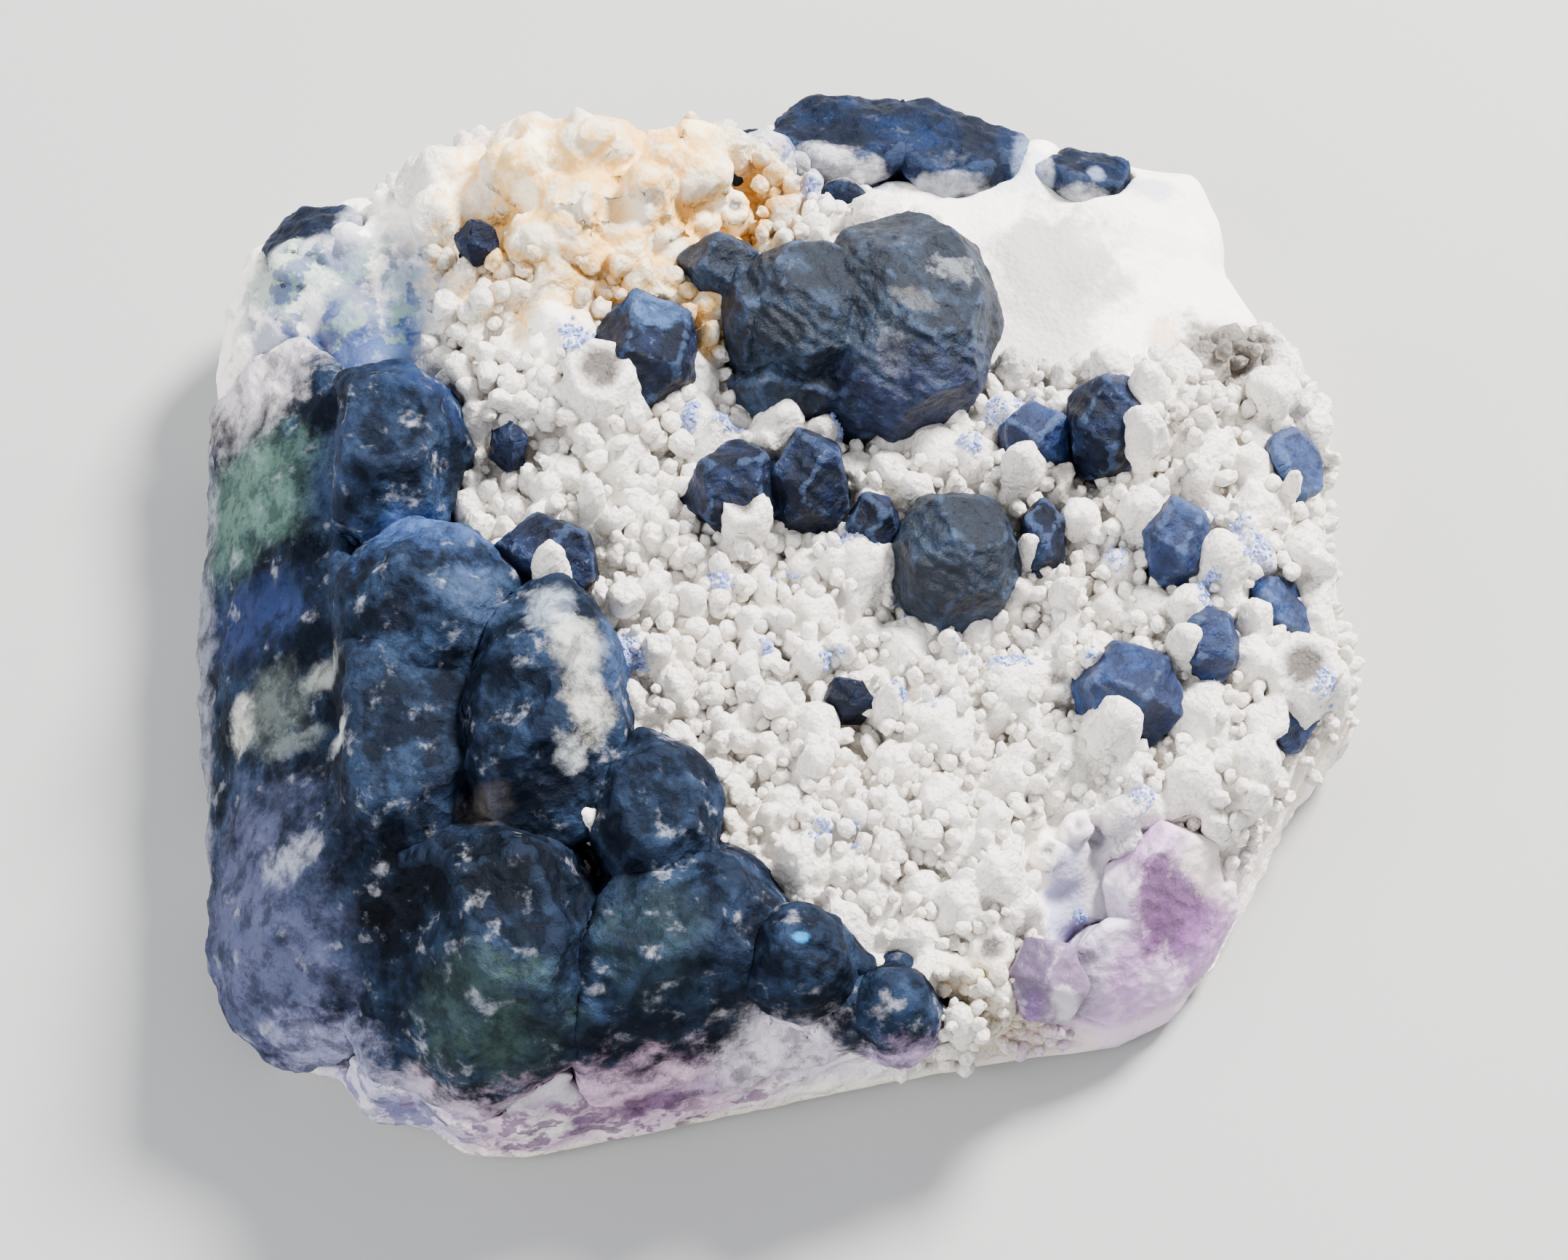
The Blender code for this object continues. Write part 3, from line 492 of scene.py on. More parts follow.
def addPoint(bm, foot, lean, radius, height, kind, sides, rng):  # one closed quartz point, mm
    rings = []
    turn = rng.uniform(0, math.tau)
    uneven = 1 + rng.uniform(-0.09, 0.09, sides)
    for share, width in pointProfiles[kind][:-1]:
        ring = []
        for i in range(sides):
            angle = math.tau * i / sides
            reach = radius * width * uneven[i] * (1 + 0.07 * math.cos(6 * angle)) * rng.uniform(0.97, 1.03)
            z = height * share + 0.1 * radius * math.sin(3 * angle + turn) * (share > 0.2)
            x = foot[0] + lean[0] * z + reach * math.cos(angle + turn)
            y = foot[1] + lean[1] * z + reach * math.sin(angle + turn)
            ring.append(bm.verts.new((x * mm, y * mm, (foot[2] + z) * mm)))
        rings.append(ring)
    z = height * pointProfiles[kind][-1][0]
    top = bm.verts.new(((foot[0] + lean[0] * z) * mm, (foot[1] + lean[1] * z) * mm, (foot[2] + z) * mm))
    for lower, upper in zip(rings, rings[1:]):
        for i in range(sides):
            j = (i + 1) % sides
            bm.faces.new((lower[i], lower[j], upper[j], upper[i]))
    for i in range(sides):
        bm.faces.new((rings[-1][i], rings[-1][(i + 1) % sides], top))
    bm.faces.new(rings[0][::-1])


def seenPlace(row):  # foot, lean, radius, height and kind of a point in the list
    x, y, radius, kind, rise, leanX, leanY = row + ("r", 0, 0, 0)[len(row) - 3:]
    rise = rise or 2.2 + 0.9 * radius
    sunk = slab["sunk"]
    foot = (x - leanX * (sunk + rise / 2), y - leanY * (sunk + rise / 2), floorAt(x, y) - sunk)
    return foot, (leanX, leanY), radius, rise + sunk, kind


def treeOf(meshes):  # for rays cast straight down
    corners, faces = [], []
    for mesh in meshes:
        faces += [tuple(v + len(corners) for v in p.vertices) for p in mesh.polygons]
        corners += [v.co.copy() for v in mesh.vertices]
    return BVHTree.FromPolygons(corners, faces)


def heightUnder(tree, x, y):
    hit = tree.ray_cast(Vector((x * mm, y * mm, 0.05)), Vector((0, 0, -1)))[0]
    return hit.z / mm if hit else 0.0


def heightsRound(tree, x, y, reach):
    return [heightUnder(tree, x + a * reach, y + b * reach) for a, b in ((1, 0), (-1, 0), (0, 1), (0, -1))]


def fillPoints(ground):  # smaller points packed between the seen ones: foot, radius, height, kind
    rng = np.random.default_rng(12)
    bottom = treeOf([ground])
    crystals = treeOf([obj.data for node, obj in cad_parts.items() if node != "quartz_matrix"])
    taken = np.array([row[:3] for row in seenPoints])
    found = []
    for step in range(slab["tries"]):
        x, y = rng.uniform(-26, 33), rng.uniform(-31, 27)
        largest = 1.0 + 0.55 * float(smoothStep(-1.0, 8.0, x))
        radius = (largest - (largest - 0.52) * (step / slab["tries"]) ** 0.7) * rng.uniform(0.85, 1.1)
        z = heightUnder(bottom, x, y)
        spot = np.array([[x, y, z]])
        bare = areaShare(spot, bareGround)[0] - areaShare(spot, frontDruse)[0]
        bare = max(bare, areaShare(spot, lumpyGround)[0])
        near = [heightUnder(crystals, x, y)] + heightsRound(crystals, x, y, 0.7 * radius)
        if z < 4.0 or bare > 0.5 or max(near) > z:
            continue
        gap = np.hypot(taken[:, 0] - x, taken[:, 1] - y) / (taken[:, 2] + radius)
        if gap.min() < slab["packing"] or min(heightsRound(bottom, x, y, radius)) < z - slab["steepest"]:
            continue
        taken = np.vstack([taken, (x, y, radius)])
        height = 1.5 + 0.8 * radius + rng.uniform(-0.4, 0.6)
        found.append(((x, y, z - 1.3), radius, height + 1.3, rng.choice(list(slab["kinds"]))))
    return found


def pointsMesh(ground):
    rng = np.random.default_rng(5)
    bm = bmesh.new()
    for row in seenPoints:
        addPoint(bm, *seenPlace(row), slab["sides"], rng)
    for foot, radius, height, kind in fillPoints(ground):
        addPoint(bm, foot, rng.uniform(-0.22, 0.22, 2), radius, height, kind, slab["sides"], rng)
    mesh = bpy.data.meshes.new("points")
    bm.to_mesh(mesh)
    bm.free()
    return mesh


def joined(obj, mesh):  # adds the faces of a mesh to those of an object
    bm = bmesh.new()
    bm.from_mesh(obj.data)
    bm.from_mesh(mesh)
    bm.to_mesh(obj.data)
    bm.free()
    bpy.data.meshes.remove(mesh)
    return obj


def brokenShare(points):  # 1 in the grey middle of a broken point
    share = np.zeros(len(points))
    for row in seenPoints:
        foot, lean, radius, height, kind = seenPlace(row)
        if kind == "b":
            tip = np.array([foot[0] + lean[0] * height, foot[1] + lean[1] * height, foot[2] + height * 0.82])
            away = np.linalg.norm((points - tip) * (1, 1, 0.8), axis=1) / radius
            share = np.maximum(share, 1 - smoothStep(0.44, 0.74, away))
    return share


def areaShare(points, areas, soft=0.2):
    share = np.zeros(len(points))
    for x, y, halfX, halfY in areas:
        away = np.sqrt(((points[:, 0] - x) / halfX) ** 2 + ((points[:, 1] - y) / halfY) ** 2)
        share = np.maximum(share, 1 - smoothStep(1 - soft / 2, 1 + soft / 2, away))
    return share


def makeSlab():
    obj = remeshed(copyOfNode("quartz_matrix", "quartzSlab"), 0.5)
    points, normals = pointsOf(obj.data), normalsOf(obj.data)
    bare = areaShare(points, bareGround)
    group(obj, "calm", smoothStep(-0.2, 0.3, normals[:, 2]) * smoothStep(6.0, 9.0, points[:, 2]) * (1 - bare))
    smoothOut(obj, 12, "calm")
    applied(obj)
    obj.vertex_groups.clear()
    remeshed(joined(obj, pointsMesh(obj.data)), slab["grain"])
    points, normals = pointsOf(obj.data), normalsOf(obj.data)
    facing = smoothStep(-0.1, 0.4, normals[:, 2])
    bare = areaShare(points, bareGround)
    lumpy = areaShare(points, lumpyGround)
    high = smoothStep(4.0, 8.0, points[:, 2])
    group(obj, "druse", facing * high * (1 - bare))
    group(obj, "mass", facing * high * bare)
    group(obj, "lumpy", facing * high * lumpy)
    group(obj, "wall", smoothStep(0.35, -0.05, normals[:, 2]) * smoothStep(0.6, 2.0, points[:, 2]))
    for kind, size, height, where, more in slab["relief"]:
        relief(obj, kind, size, height, where, **more)
    applied(obj)
    obj.vertex_groups.clear()
    thinned(obj, slab["most"])
    storeGround(obj.data)
    return shadeSmooth(obj)


def storeGround(mesh):  # what the shaders and the scattering read from the slab
    points, normals = pointsOf(mesh), normalsOf(mesh)
    bare, lumpy = areaShare(points, bareGround), areaShare(points, lumpyGround)
    above = points[:, 2] - heightsAround(points, 0.5, 6)
    broken = brokenShare(points)
    front = areaShare(points, frontDruse)
    facing = np.maximum(smoothStep(-0.25, 0.25, normals[:, 2]), 0.9 * front)
    low = 1 - smoothStep(0.1, 0.9, above)
    deep = np.maximum(smoothStep(5.0, 7.5, points[:, 2]), front * smoothStep(1.6, 2.6, points[:, 2]))
    cover = facing * (1 - bare * (1 - front)) * (1 - lumpy) * deep
    wall = smoothStep(0.2, -0.1, normals[:, 2]) * (1 - front)
    store(mesh, "rise", np.maximum(smoothStep(-2.4, 1.0, above), np.maximum(bare, wall)))
    store(mesh, "druse", cover * np.maximum(low, front) * (1 - broken))
    store(mesh, "glassy", np.maximum(broken, 0.45 * areaShare(points, icyGround, 0.5)))
    store(mesh, "crusty", np.maximum(0.25 + 0.75 * cover, 0.7 * wall))
    west = smoothStep(4.0, -4.0, points[:, 0]) * (1 - lumpy)
    store(mesh, "nubSize", 0.75 + 0.25 * west)
    crust = np.zeros(len(points))
    for x, y, reach in crustSpots:
        away = np.hypot(points[:, 0] - x, points[:, 1] - y)
        crust = np.maximum(crust, 1 - smoothStep(0.5 * reach, reach, away))
    store(mesh, "crust", crust * smoothStep(-0.2, 0.6, above) * smoothStep(0.0, 0.4, normals[:, 2]))


# Small quartz points between the large ones, and blue grains on top, scattered by Geometry Nodes

nubs = {
    "kinds": "prrprrbr", "sides": 8, "sunk": 0.3, "radius": (0.28, 0.74), "length": (1.4, 2.7),
    "values": {"Spacing": 0.76 * mm, "Density": 2.2e6, "Lean": 0.42, "Upright": 1.0, "Seed": 4},
}
grains = {
    "radius": (0.11, 0.2), "length": (0.8, 1.2),
    "values": {"Spacing": 0.21 * mm, "Density": 2.0e7, "Lean": 0.9, "Upright": 0.0, "Seed": 9},
}


def makeNub(index, kind):  # a small point of radius 1 and height 1, its foot below the ground
    bm = bmesh.new()
    rng = np.random.default_rng(20 + index)
    addPoint(bm, (0, 0, -nubs["sunk"]), (0, 0), 1.0, 1.0 + nubs["sunk"], kind, nubs["sides"], rng)
    bmesh.ops.scale(bm, vec=(1 / mm, 1 / mm, 1 / mm), verts=bm.verts)
    mesh = bpy.data.meshes.new("nubKind%d" % index)
    bm.to_mesh(mesh)
    bm.free()
    heights = pointsOf(mesh)[:, 2] * mm
    store(mesh, "rise", np.clip(heights * 1.15, 0, 1))
    return linked(mesh.name, mesh)


def makeCube():
    mesh = bpy.data.meshes.new("grainKind")
    bm = bmesh.new()
    bmesh.ops.create_cube(bm, size=1.7)
    bm.to_mesh(mesh)
    bm.free()
    return linked(mesh.name, mesh)


def newTree(name, floats):
    tree = bpy.data.node_groups.new(name, "GeometryNodeTree")
    tree.interface.new_socket("Geometry", in_out="INPUT", socket_type="NodeSocketGeometry")
    sockets = {}
    for label, value in floats.items():
        kind = "NodeSocketInt" if isinstance(value, int) else "NodeSocketFloat"
        sockets[label] = tree.interface.new_socket(label, in_out="INPUT", socket_type=kind).identifier
    tree.interface.new_socket("Geometry", in_out="OUTPUT", socket_type="NodeSocketGeometry")
    return tree, tree.nodes.new("NodeGroupInput"), sockets


def grown(carrier, name, tree, sockets, values):  # what the tree makes on the carrier, as a plain mesh
    grow = carrier.modifiers.new("Grow", "NODES")
    grow.node_group = tree
    for label, value in values.items():
        grow[sockets[label]] = value
    carrier.update_tag()
    graph = bpy.context.evaluated_depsgraph_get()
    mesh = bpy.data.meshes.new_from_object(carrier.evaluated_get(graph))
    carrier.modifiers.remove(grow)
    mesh.name = name
    print(name, sum(len(p.vertices) - 2 for p in mesh.polygons), "triangles")
    return linked(name, mesh)


def randomValue(tree, low, high, seed, kind="FLOAT"):
    output, first = {"FLOAT_VECTOR": (0, 0), "FLOAT": (1, 2), "INT": (2, 4)}[kind]
    values = {first: low, first + 1: high, "Seed": seed}
    return add(tree, "FunctionNodeRandomValue", values, output, data_type=kind)


def scattered(carrier, name, kinds, finish, densityName, settings):
    values = settings["values"]
    tree, entry, sockets = newTree(name, values)
    density = add(tree, "GeometryNodeInputNamedAttribute", {"Name": densityName}, data_type="FLOAT")
    scatter = tree.nodes.new("GeometryNodeDistributePointsOnFaces")
    scatter.distribute_method = "POISSON"
    tree.links.new(entry.outputs["Geometry"], scatter.inputs["Mesh"])
    tree.links.new(entry.outputs["Spacing"], scatter.inputs["Distance Min"])
    tree.links.new(entry.outputs["Density"], scatter.inputs["Density Max"])
    tree.links.new(density, scatter.inputs["Density Factor"])
    tree.links.new(entry.outputs["Seed"], scatter.inputs["Seed"])
    lean = randomValue(tree, (-1.0, -1.0, 0.0), (1.0, 1.0, 0.0), 1, "FLOAT_VECTOR")
    leaning = add(tree, "ShaderNodeVectorMath", {0: lean, "Scale": entry.outputs["Lean"]}, operation="SCALE")
    rising = add(tree, "ShaderNodeCombineXYZ", {2: entry.outputs["Upright"]})
    upright = add(tree, "ShaderNodeVectorMath", {0: leaning, 1: rising}, operation="ADD")
    pointing = add(tree, "ShaderNodeVectorMath", {0: scatter.outputs["Normal"], 1: upright}, operation="ADD")
    turned = add(tree, "FunctionNodeAlignRotationToVector", {"Vector": pointing}, axis="Z")
    spin = randomValue(tree, 0.0, math.tau, 2)
    spun = add(tree, "FunctionNodeAxisAngleToRotation", {"Axis": (0.0, 0.0, 1.0), "Angle": spin})
    rotation = add(tree, "FunctionNodeRotateRotation", {0: turned, 1: spun}, rotation_space="LOCAL")
    scale = add(tree, "GeometryNodeInputNamedAttribute", {"Name": "nubSize"}, data_type="FLOAT")
    radius = times(tree, randomValue(tree, settings["radius"][0] * mm, settings["radius"][1] * mm, 3), scale)
    length = times(tree, radius, randomValue(tree, *settings["length"], 4))
    size = add(tree, "ShaderNodeCombineXYZ", {0: radius, 1: radius, 2: length})
    shapes = tree.nodes.new("GeometryNodeJoinGeometry")
    for kind in kinds:
        info = add(tree, "GeometryNodeObjectInfo", {"Object": kind}, "Geometry")
        tree.links.new(add(tree, "GeometryNodeGeometryToInstance", {0: info}), shapes.inputs[0])
    placed = tree.nodes.new("GeometryNodeInstanceOnPoints")
    tree.links.new(scatter.outputs["Points"], placed.inputs["Points"])
    tree.links.new(shapes.outputs[0], placed.inputs["Instance"])
    placed.inputs["Pick Instance"].default_value = True
    tree.links.new(randomValue(tree, 0, len(kinds) - 1, 5, "INT"), placed.inputs["Instance Index"])
    tree.links.new(rotation, placed.inputs["Rotation"])
    tree.links.new(size, placed.inputs["Scale"])
    real = add(tree, "GeometryNodeRealizeInstances", {0: placed.outputs[0]})
    painted = add(tree, "GeometryNodeSetMaterial", {"Geometry": real, "Material": finish})
    leave = tree.nodes.new("NodeGroupOutput")
    tree.links.new(painted, leave.inputs[0])
    obj = grown(carrier, name, tree, sockets, values)
    for kind in kinds:
        bpy.data.objects.remove(kind)
    return obj


def makeNubs(carrier, finish):
    kinds = [makeNub(i, kind) for i, kind in enumerate(nubs["kinds"])]
    obj = scattered(carrier, "quartzNubs", kinds, finish, "druse", nubs)
    relief(obj, "CLOUDS", 0.6, 0.16, noise_depth=2)
    applied(obj)
    count = len(obj.data.vertices)
    store(obj.data, "glassy", np.zeros(count))
    store(obj.data, "crusty", np.ones(count))
    return shadeSmooth(obj)


# Fluorite

# edge: painted highlight colour on the sharp edges; dust: pale flecks, partly real dust and partly painted
# glints
fluorite = {"edge": (84, 108, 152), "dust": (168, 170, 180), "black": (12, 15, 24)}


def fluoriteMaterial(name, look):
    made, tree, shader = material(name)
    place = placeIn(tree)
    broad = grainOf(tree, place, 2.6, 5.0, 0.62)
    fine = grainOf(tree, place, look["fine"], 8.0, 0.72)
    growth = cellsOf(tree, wobbled(tree, place, 1.0, 0.35), 0.8)
    colour = mixed(tree, between(tree, broad, 0.42, 0.7), linear(*look["base"]), linear(*look["sheen"]))
    colour = zoned(tree, colour, place, look["zones"], *look["edges"])
    deep = between(tree, grainOf(tree, place, 2.2 * look["fine"], 6.0, 0.7), 0.54, 0.4)
    colour = mixed(tree, times(tree, deep, look["deep"]), colour, linear(*fluorite["black"]))
    # painted highlight: sharp edges turn lighter blue, for light showing through thin fluorite
    edge = times(tree, between(tree, attributeOf(tree, "edge"), 0.5, 1.0), look["edge"])
    colour = mixed(tree, edge, colour, linear(*fluorite["edge"]))
    spots = between(tree, grainOf(tree, place, 1.7, 4.0, 0.6), 0.55, 0.72)
    spots = times(tree, spots, between(tree, broad, 0.44, 0.6, 0.0, look["spots"]))
    # pale flecks: partly real dust, partly painted glints
    dust = times(tree, between(tree, fine, 0.56, 0.72), between(tree, broad, 0.48, 0.64, 0.0, look["dust"]))
    for share in (spots, dust):
        colour = mixed(tree, share, colour, linear(*fluorite["dust"]))
    tree.links.new(colour, shader.inputs["Base Color"])
    roughness = between(tree, fine, 0.3, 0.7, look["gloss"], look["gloss"] + 0.25)
    tree.links.new(roughness, shader.inputs["Roughness"])
    shader.inputs["IOR"].default_value = 1.434
    shader.inputs["Specular IOR Level"].default_value = look["shine"]
    shader.inputs["Subsurface Weight"].default_value = look["glow"]
    shader.inputs["Subsurface Radius"].default_value = (0.8, 0.8, 1.0)
    shader.inputs["Subsurface Scale"].default_value = 0.8 * mm
    waves = {"Vector": place, "Scale": 380.0, "Distortion": 7.0, "Detail": 3.0}
    bands = times(tree, add(tree, "ShaderNodeTexWave", waves, 1, bands_direction="DIAGONAL"), look["bands"])
    pits = grainOf(tree, place, 0.9, 5.0, 0.65)
    bumped(tree, shader, [(growth, 0.16), (bands, 0.12), (pits, look["rough"]), (fine, 0.4 * look["rough"])])
    return made


massZones = [
    ((-29.7, 13, 8), (4, 4.6, 8), (214, 206, 210), 0.85),
    ((-29.3, 4.6, 8), (4.4, 4.4, 8), (88, 116, 106), 0.8),
    ((-28.9, -3.2, 8), (4, 2.6, 8), (38, 50, 88), 0.8),
    ((-28.2, -9.4, 9), (2.4, 2.2, 8), (104, 112, 106), 0.6),
    ((-25, -8.6, 12), (1.6, 0.9, 6), (170, 174, 168), 0.6),
    ((-26.6, -12, 10), (2.2, 0.8, 6), (128, 136, 136), 0.6),
    ((-27.2, -21, 7), (5.4, 7.4, 9), (84, 88, 118), 0.8),
    ((-26, -19.2, 9), (2.1, 1.5, 6), (204, 208, 224), 0.75),
    ((-23.9, -13.2, 14), (0.8, 0.8, 6), (214, 216, 218), 0.7),
    ((-30.2, -9.4, 8), (0.8, 1.6, 5), (220, 220, 212), 0.65),
    # painted shadow: near black in a deep hole that lies in shade
    ((-20.2, -22.2, 13), (2.7, 3.2, 7), (1, 2, 6), 0.98),
    ((-14.8, -21.6, 18), (4.4, 3.2, 7), (3, 6, 11), 0.9),
    ((-17, -6.2, 17), (2.6, 2.2, 5), (64, 82, 114), 0.5),
    ((-15.7, -17.8, 17), (1.4, 0.9, 5), (84, 78, 74), 0.5),
    ((-15.2, -28.4, 12), (3.8, 3, 8), (52, 70, 66), 0.65), ((-6.6, -25, 16), (3, 3, 8), (34, 47, 52), 0.55),
    ((-8.6, -30.6, 5), (11, 3, 5.6), (206, 172, 198), 0.9),
    ((-7, -30.4, 6.8), (2.6, 2.4, 1.3), (88, 58, 94), 0.8),
    ((-11.8, -30.4, 6.2), (1.5, 2.4, 1.5), (82, 58, 92), 0.75),
    ((-3.4, -29.6, 7.6), (1.4, 2.4, 1.4), (104, 78, 116), 0.7),
    ((-13.4, -30.4, 7.4), (1.2, 2.4, 1.6), (232, 226, 230), 0.7),
    ((-17.8, -30.2, 5), (5.6, 3, 5), (176, 166, 184), 0.7),
    ((-23, -28.2, 5), (4.6, 3.4, 5), (150, 150, 184), 0.7),
    ((-33.4, -4, 3), (1.3, 22, 3.6), (172, 174, 186), 0.45),
    ((1, -28.4, 7.6), (4.6, 2.8, 5), (216, 208, 220), 0.88),
    ((7.1, -28.6, 7), (3.4, 2.6, 4.6), (196, 170, 208), 0.85),
    # painted highlight: a small cyan glint on the dome
    ((1.4, -25.4, 18.4), (0.4, 0.3, 1), (34, 118, 176), 0.8),
    ((-19.4, -2.4, 16), (3.8, 3.4, 4), (66, 92, 144), 0.7),
    ((-12.2, -7, 18), (1.3, 1.6, 6), (150, 162, 180), 0.65),
    ((-11, -9.6, 17), (1.5, 2.2, 6), (190, 192, 188), 0.75),
    ((-10.2, -12.8, 17), (1.2, 1.7, 6), (204, 202, 194), 0.75),
    ((-11.2, -15.4, 17), (0.8, 0.9, 6), (200, 204, 208), 0.75),
    ((-8.8, -9, 16), (1, 3, 6), (52, 70, 104), 0.6), ((-24.6, 3.8, 15), (2.4, 3, 5), (44, 58, 88), 0.6),
    ((-19.6, 9.6, 15), (3.4, 3.6, 6), (30, 48, 86), 0.6),
]
rimZones = [
    ((2.4, 25.8, 11), (2.8, 1.2, 5), (206, 206, 212), 0.75),
    ((7.4, 26.2, 12), (1, 1.8, 5), (12, 20, 46), 0.7),
    ((4.8, 25, 11), (2.2, 0.9, 5), (206, 204, 208), 0.6),
    ((15.2, 27.4, 11), (0.9, 2, 5), (130, 146, 180), 0.6),
    ((10.4, 24.7, 11), (3.4, 0.6, 5), (196, 200, 212), 0.5),
    ((19.2, 26, 10), (0.5, 0.8, 4), (150, 168, 206), 0.6),
    ((18.6, 24.1, 10), (3.2, 0.7, 4), (216, 218, 226), 0.6),
    ((16.2, 26.2, 10), (0.5, 1.3, 4), (196, 204, 220), 0.5),
    ((-26.8, 19.4, 12), (3.6, 1, 5), (214, 216, 224), 0.7),
    ((-25, 21.6, 12), (0.9, 1.8, 5), (190, 196, 212), 0.6),
]
plumZones = [
    ((21.9, -20, 9), (3.2, 2.5, 5), (76, 40, 82), 0.92),
    ((24.9, -16.6, 7), (3.4, 2.4, 6), (226, 212, 210), 0.9),
    ((25, -21.6, 5), (2.4, 2.4, 6), (134, 84, 146), 0.75),
    ((18.2, -20, 9), (2, 2.8, 5), (202, 192, 208), 0.85),
    ((17.4, -23.2, 9), (1.2, 2.4, 5), (186, 176, 200), 0.75),
    ((13.9, -24.9, 12), (1.3, 3, 5), (30, 27, 60), 0.92),
    ((15.6, -25.2, 11), (2.6, 2.5, 6), (84, 70, 94), 0.85),
    ((15.8, -26.6, 10), (0.9, 0.5, 4), (226, 216, 230), 0.6),
    ((14.2, -27, 9), (0.8, 1, 4), (96, 60, 120), 0.7),
]
usualLook = {
    "deep": 0.45, "edge": 0.2, "edges": (0.9, 2.0, 0.3), "spots": 0.0, "dust": 0.35, "bands": 0.8,
    "rough": 0.34, "gloss": 0.34, "shine": 0.3, "glow": 0.0, "fine": 0.36, "zones": [],
}
looks = {  # what differs from the usual look
    "periwinkle": {
        "base": (128, 146, 206), "sheen": (168, 182, 226), "deep": 0.0, "edge": 0.0, "bands": 0.0,
        "rough": 0.2,
    },
    "slate": {
        "base": (17, 25, 37), "sheen": (42, 58, 80), "deep": 0.55, "edge": 0.14, "edges": (1.0, 3.6, 0.3),
        "dust": 0.3, "bands": 1.0, "shine": 0.25,
        "zones": [
            ((10.4, 14.8, 20), (1.3, 0.8, 3), (150, 154, 162), 0.4),
            ((7.8, 12.3, 20), (1.5, 0.7, 3), (112, 110, 106), 0.3),
            ((6.6, 9.8, 18), (0.9, 1.6, 3), (120, 120, 126), 0.4),
            ((8.2, 8.2, 16), (4.4, 2.6, 4), (40, 46, 84), 0.5),
        ],
    },
    "navy": {
        "base": (7, 13, 28), "sheen": (22, 35, 66), "shine": 0.16,
        "zones": [((-7, 12.6, 18), (1.8, 1.4, 3), (70, 98, 144), 0.6)],
    },
    "bright": {
        "base": (9, 27, 64), "sheen": (28, 57, 108), "deep": 0.4, "edge": 0.24, "dust": 0.28, "bands": 0.6,
        "shine": 0.35, "glow": 0.05,
    },
    "rim": {
        "base": (3, 11, 28), "sheen": (13, 32, 64), "deep": 0.3, "edge": 0.1, "edges": (1.3, 1.6, 0.4),
        "spots": 0.12, "dust": 0.18, "bands": 0.0, "shine": 0.12,
        "zones": rimZones,
    },
    "mottled": {
        "base": (8, 14, 25), "sheen": (32, 46, 68), "deep": 0.55, "edge": 0.04, "edges": (2.0, 2.0, 0.45),
        "spots": 0.5, "dust": 0.12, "bands": 0.3, "rough": 0.24, "gloss": 0.46, "shine": 0.05, "fine": 0.8,
        "zones": massZones,
    },
    "plum": {
        "base": (176, 138, 186), "sheen": (204, 182, 210), "deep": 0.0, "edge": 0.0, "edges": (1.3, 1.6, 0.3),
        "dust": 0.15, "bands": 0.3, "rough": 0.12, "gloss": 0.16, "shine": 0.5, "glow": 0.4,
        "zones": plumZones,
    },
}
etched = [
    ("CLOUDS", 2.4, 0.34, {"noise_depth": 2}), ("VORONOI", 1.3, 0.2, {"level": 0.4}),
    ("CLOUDS", 0.5, 0.16, {"noise_depth": 3}),
]
massEtched = [
    ("CLOUDS", 4.6, 0.9, {"noise_depth": 3}), ("VORONOI", 2.4, 0.5, {"level": 0.4}),
    ("CLOUDS", 0.9, 0.34, {"noise_depth": 3}),
]
faceted = [("CLOUDS", 2.0, 0.3, {"noise_depth": 1}), ("CLOUDS", 0.6, 0.08, {"noise_depth": 2})]
general = {
    "look": "navy", "grain": 0.15, "most": 50000, "rounding": 1, "swell": 0.16, "shift": (0, 0, 0),
    "relief": etched, "domes": [],
}
special = {  # what differs from the general crystal; domes: middle and half sizes, mm
    "fluorite_left_mass": {
        "look": "mottled", "grain": 0.23, "most": 190000, "relief": massEtched, "swell": 0.5,
        "domes": [
            (1.3, -25.4, 13, 2.7, 2.6, 4.6), (6.7, -27.4, 11.4, 2.1, 2, 3.6), (4.4, -27, 10.6, 2.4, 1.9, 2.6),
        ],
    },
    "fluorite_crown": {"look": "slate", "grain": 0.16, "most": 80000},
    "fluorite_east": {"look": "slate"},
    "fluorite_back_rim": {"look": "rim", "relief": massEtched, "swell": 0.3},
    "fluorite_rim_back_right": {"look": "rim", "relief": massEtched, "swell": 0.3},
    "fluorite_rim_back_left": {
        "look": "rim", "shift": (0.4, 0.2, 0.6),
        "domes": [
            (-2.5, 24.7, 13.4, 0.8, 1, 2.2), (0.6, 23.6, 13.2, 1.2, 0.9, 1.6),
            (4, 23.6, 12.6, 1.3, 0.9, 1.5), (1.2, 25.6, 12.8, 0.9, 0.7, 1.4),
        ],
    },
    "fluorite_corner_back_left": {"look": "rim", "relief": massEtched},
    "fluorite_rim_east": {"look": "bright", "shift": (0.2, 0.2, 1.3), "swell": 0.3},
    "fluorite_rim_east_low": {"look": "bright"},
    "fluorite_rim_south_east": {"look": "bright", "shift": (0, 0, 0.9)},
    "fluorite_hook": {"look": "bright"},
    "fluorite_east_hook": {"look": "bright"},
    "fluorite_south_east": {"look": "bright"},
    "fluorite_tablet": {"look": "bright"},
    "fluorite_purple_corner": {"look": "plum", "relief": faceted, "swell": 0.22},
    "fluorite_violet": {"look": "plum", "relief": faceted, "shift": (0.8, -0.5, 0)},
    "fluorite_north_west": {"swell": -0.3, "shift": (0, -0.9, 0)},
    "fluorite_wedge": {"swell": -0.45},
    "fluorite_ring": {"shift": (-1.6, 0, 0)},
    "fluorite_south": {"shift": (0, 1.6, 0), "swell": -0.3},
}


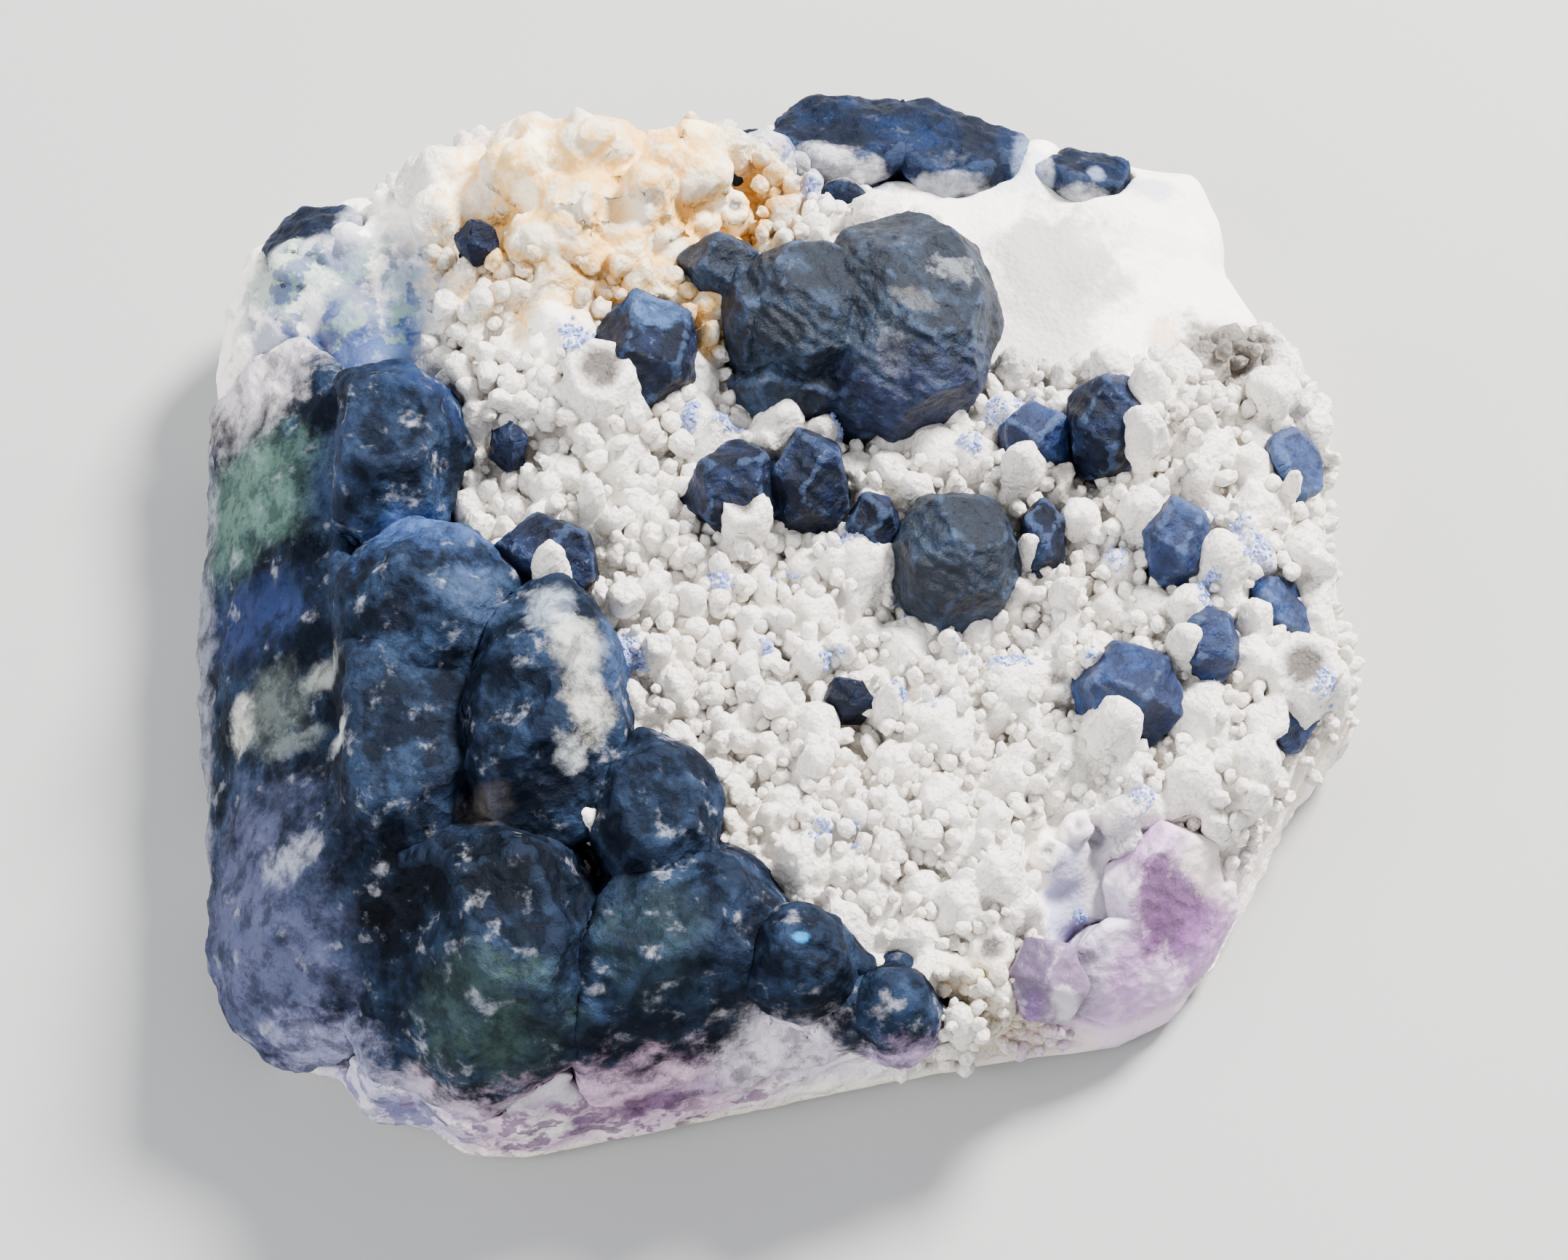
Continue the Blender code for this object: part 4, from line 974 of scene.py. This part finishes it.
def edgeShare(mesh, points, normals):  # how much each point stands out from those round it
    ends = np.empty(len(mesh.edges) * 2, np.int32)
    mesh.edges.foreach_get("vertices", ends)
    ends = ends.reshape(-1, 2)
    smooth = points.copy()
    for _ in range(6):
        total, count = smooth.copy(), np.ones(len(points))
        for a, b in ((0, 1), (1, 0)):
            np.add.at(total, ends[:, a], smooth[ends[:, b]])
            np.add.at(count, ends[:, a], 1)
        smooth = total / count[:, None]
    out = ((points - smooth) * normals).sum(1)
    return smoothStep(0.0, 0.09, out)


def domeMesh(rows):  # rounded crystal heads, by middle and half sizes, mm
    bm = bmesh.new()
    for x, y, z, halfX, halfY, halfZ in rows:
        ball = bmesh.ops.create_icosphere(bm, subdivisions=3, radius=mm)["verts"]
        bmesh.ops.scale(bm, vec=(halfX, halfY, halfZ), verts=ball)
        bmesh.ops.translate(bm, vec=(x * mm, y * mm, z * mm), verts=ball)
    mesh = bpy.data.meshes.new("domes")
    bm.to_mesh(mesh)
    bm.free()
    return mesh


def makeFluorite(node, finishes):
    words = node.split("_")
    settings = {**general, **special.get(node, {})}
    obj = copyOfNode(node, words[0] + "".join(word.capitalize() for word in words[1:]))
    obj.data.transform(Matrix.Translation(Vector(settings["shift"]) * mm))
    if settings["domes"]:
        joined(obj, domeMesh(settings["domes"]))
    remeshed(obj, settings["grain"])
    smoothOut(obj, settings["rounding"])
    swell(obj, settings["swell"])
    for kind, size, height, more in settings["relief"]:
        relief(obj, kind, size, height, **more)
    applied(obj)
    points, normals = pointsOf(obj.data), normalsOf(obj.data)
    # where the painted edge highlight falls: the sharp edges
    store(obj.data, "edge", edgeShare(obj.data, points, normals))
    thinned(obj, settings["most"])
    obj.data.materials.clear()
    obj.data.materials.append(finishes[settings["look"]])
    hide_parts(node)
    return shadeSmooth(obj)


# Building it all

white = quartzMaterial()
slabPiece = makeSlab()
slabPiece.data.materials.clear()
slabPiece.data.materials.append(white)
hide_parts("quartz_matrix")
print("stage: slab", len(slabPiece.data.polygons))

nubPiece = makeNubs(slabPiece, white)
print("stage: quartz points")

finishes = {kind: fluoriteMaterial(kind + "Fluorite", {**usualLook, **look}) for kind, look in looks.items()}
grainPiece = scattered(slabPiece, "blueGrains", [makeCube()], finishes["periwinkle"], "crust", grains)
store(grainPiece.data, "edge", np.full(len(grainPiece.data.vertices), 0.8))
pieces = [slabPiece, nubPiece, grainPiece]
pieces += [makeFluorite(node, finishes) for node in sorted(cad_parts) if node != "quartz_matrix"]
for piece in pieces:
    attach(piece, "root")
print("stage: fluorite", sum(len(p.data.polygons) for p in pieces))


# Floor, light and camera

studio = {
    "floor": 1.2, "floorShades": (0.32, 0.345), "cameraAim": (0.5, -3.5, 10.0), "elevation": 65.0,
    "distance": 250.0, "sky": (0.85, 0.88, 0.92, 1), "skyStrength": 1.16,
    "lights": [  # name, direction, distance, size, power, colour
        ("key", (0.75, 0.75, 1.1), 0.45, 0.12, 12.4, (1.0, 0.97, 0.93)),
        ("fill", (-1.0, -0.6, 0.9), 0.5, 0.35, 3.4, (0.97, 0.98, 1.0)),
    ],
}


def makeFloor():
    half = studio["floor"]
    mesh = bpy.data.meshes.new("floor")
    corners = [(-half, -half, 0), (half, -half, 0), (half, half, 0), (-half, half, 0)]
    mesh.from_pydata(corners, [], [(0, 1, 2, 3)])
    obj = linked("floor", mesh)
    obj.location.z = -0.05 * mm
    made, tree, shader = material("paleFloor")
    dark, light = ((shade, shade, shade) for shade in studio["floorShades"])
    colour = mixed(tree, grainOf(tree, placeIn(tree), 60.0, 2.0), dark, light)
    tree.links.new(colour, shader.inputs["Base Color"])
    shader.inputs["Roughness"].default_value = 0.9
    mesh.materials.append(made)


def makeLight(name, direction, distance, size, power, colour):
    lamp = bpy.data.lights.new(name, "AREA")
    lamp.shape = "DISK"
    lamp.size, lamp.energy, lamp.color = size, power, colour
    obj = bpy.data.objects.new(name, lamp)
    bpy.context.scene.collection.objects.link(obj)
    ray = Vector(direction).normalized()
    obj.location = ray * distance
    obj.rotation_euler = ray.to_track_quat("Z", "Y").to_euler()


def makeCamera():
    camera = bpy.data.objects.new("camera", bpy.data.cameras.new("camera"))
    bpy.context.scene.collection.objects.link(camera)
    camera.data.lens, camera.data.sensor_width = 100.0, 36.0
    camera.data.clip_start, camera.data.clip_end = 0.01, 10.0
    lift = math.radians(studio["elevation"])
    back = Vector((0, -math.cos(lift), math.sin(lift)))
    camera.location = (Vector(studio["cameraAim"]) + back * studio["distance"]) * mm
    camera.rotation_euler = back.to_track_quat("Z", "Y").to_euler()
    bpy.context.scene.camera = camera


makeFloor()
for light in studio["lights"]:
    makeLight(*light)
makeCamera()
world = bpy.data.worlds.new("studio")
world.use_nodes = True
sky = world.node_tree.nodes["Background"].inputs
sky["Color"].default_value = studio["sky"]
sky["Strength"].default_value = studio["skyStrength"]
bpy.context.scene.world = world
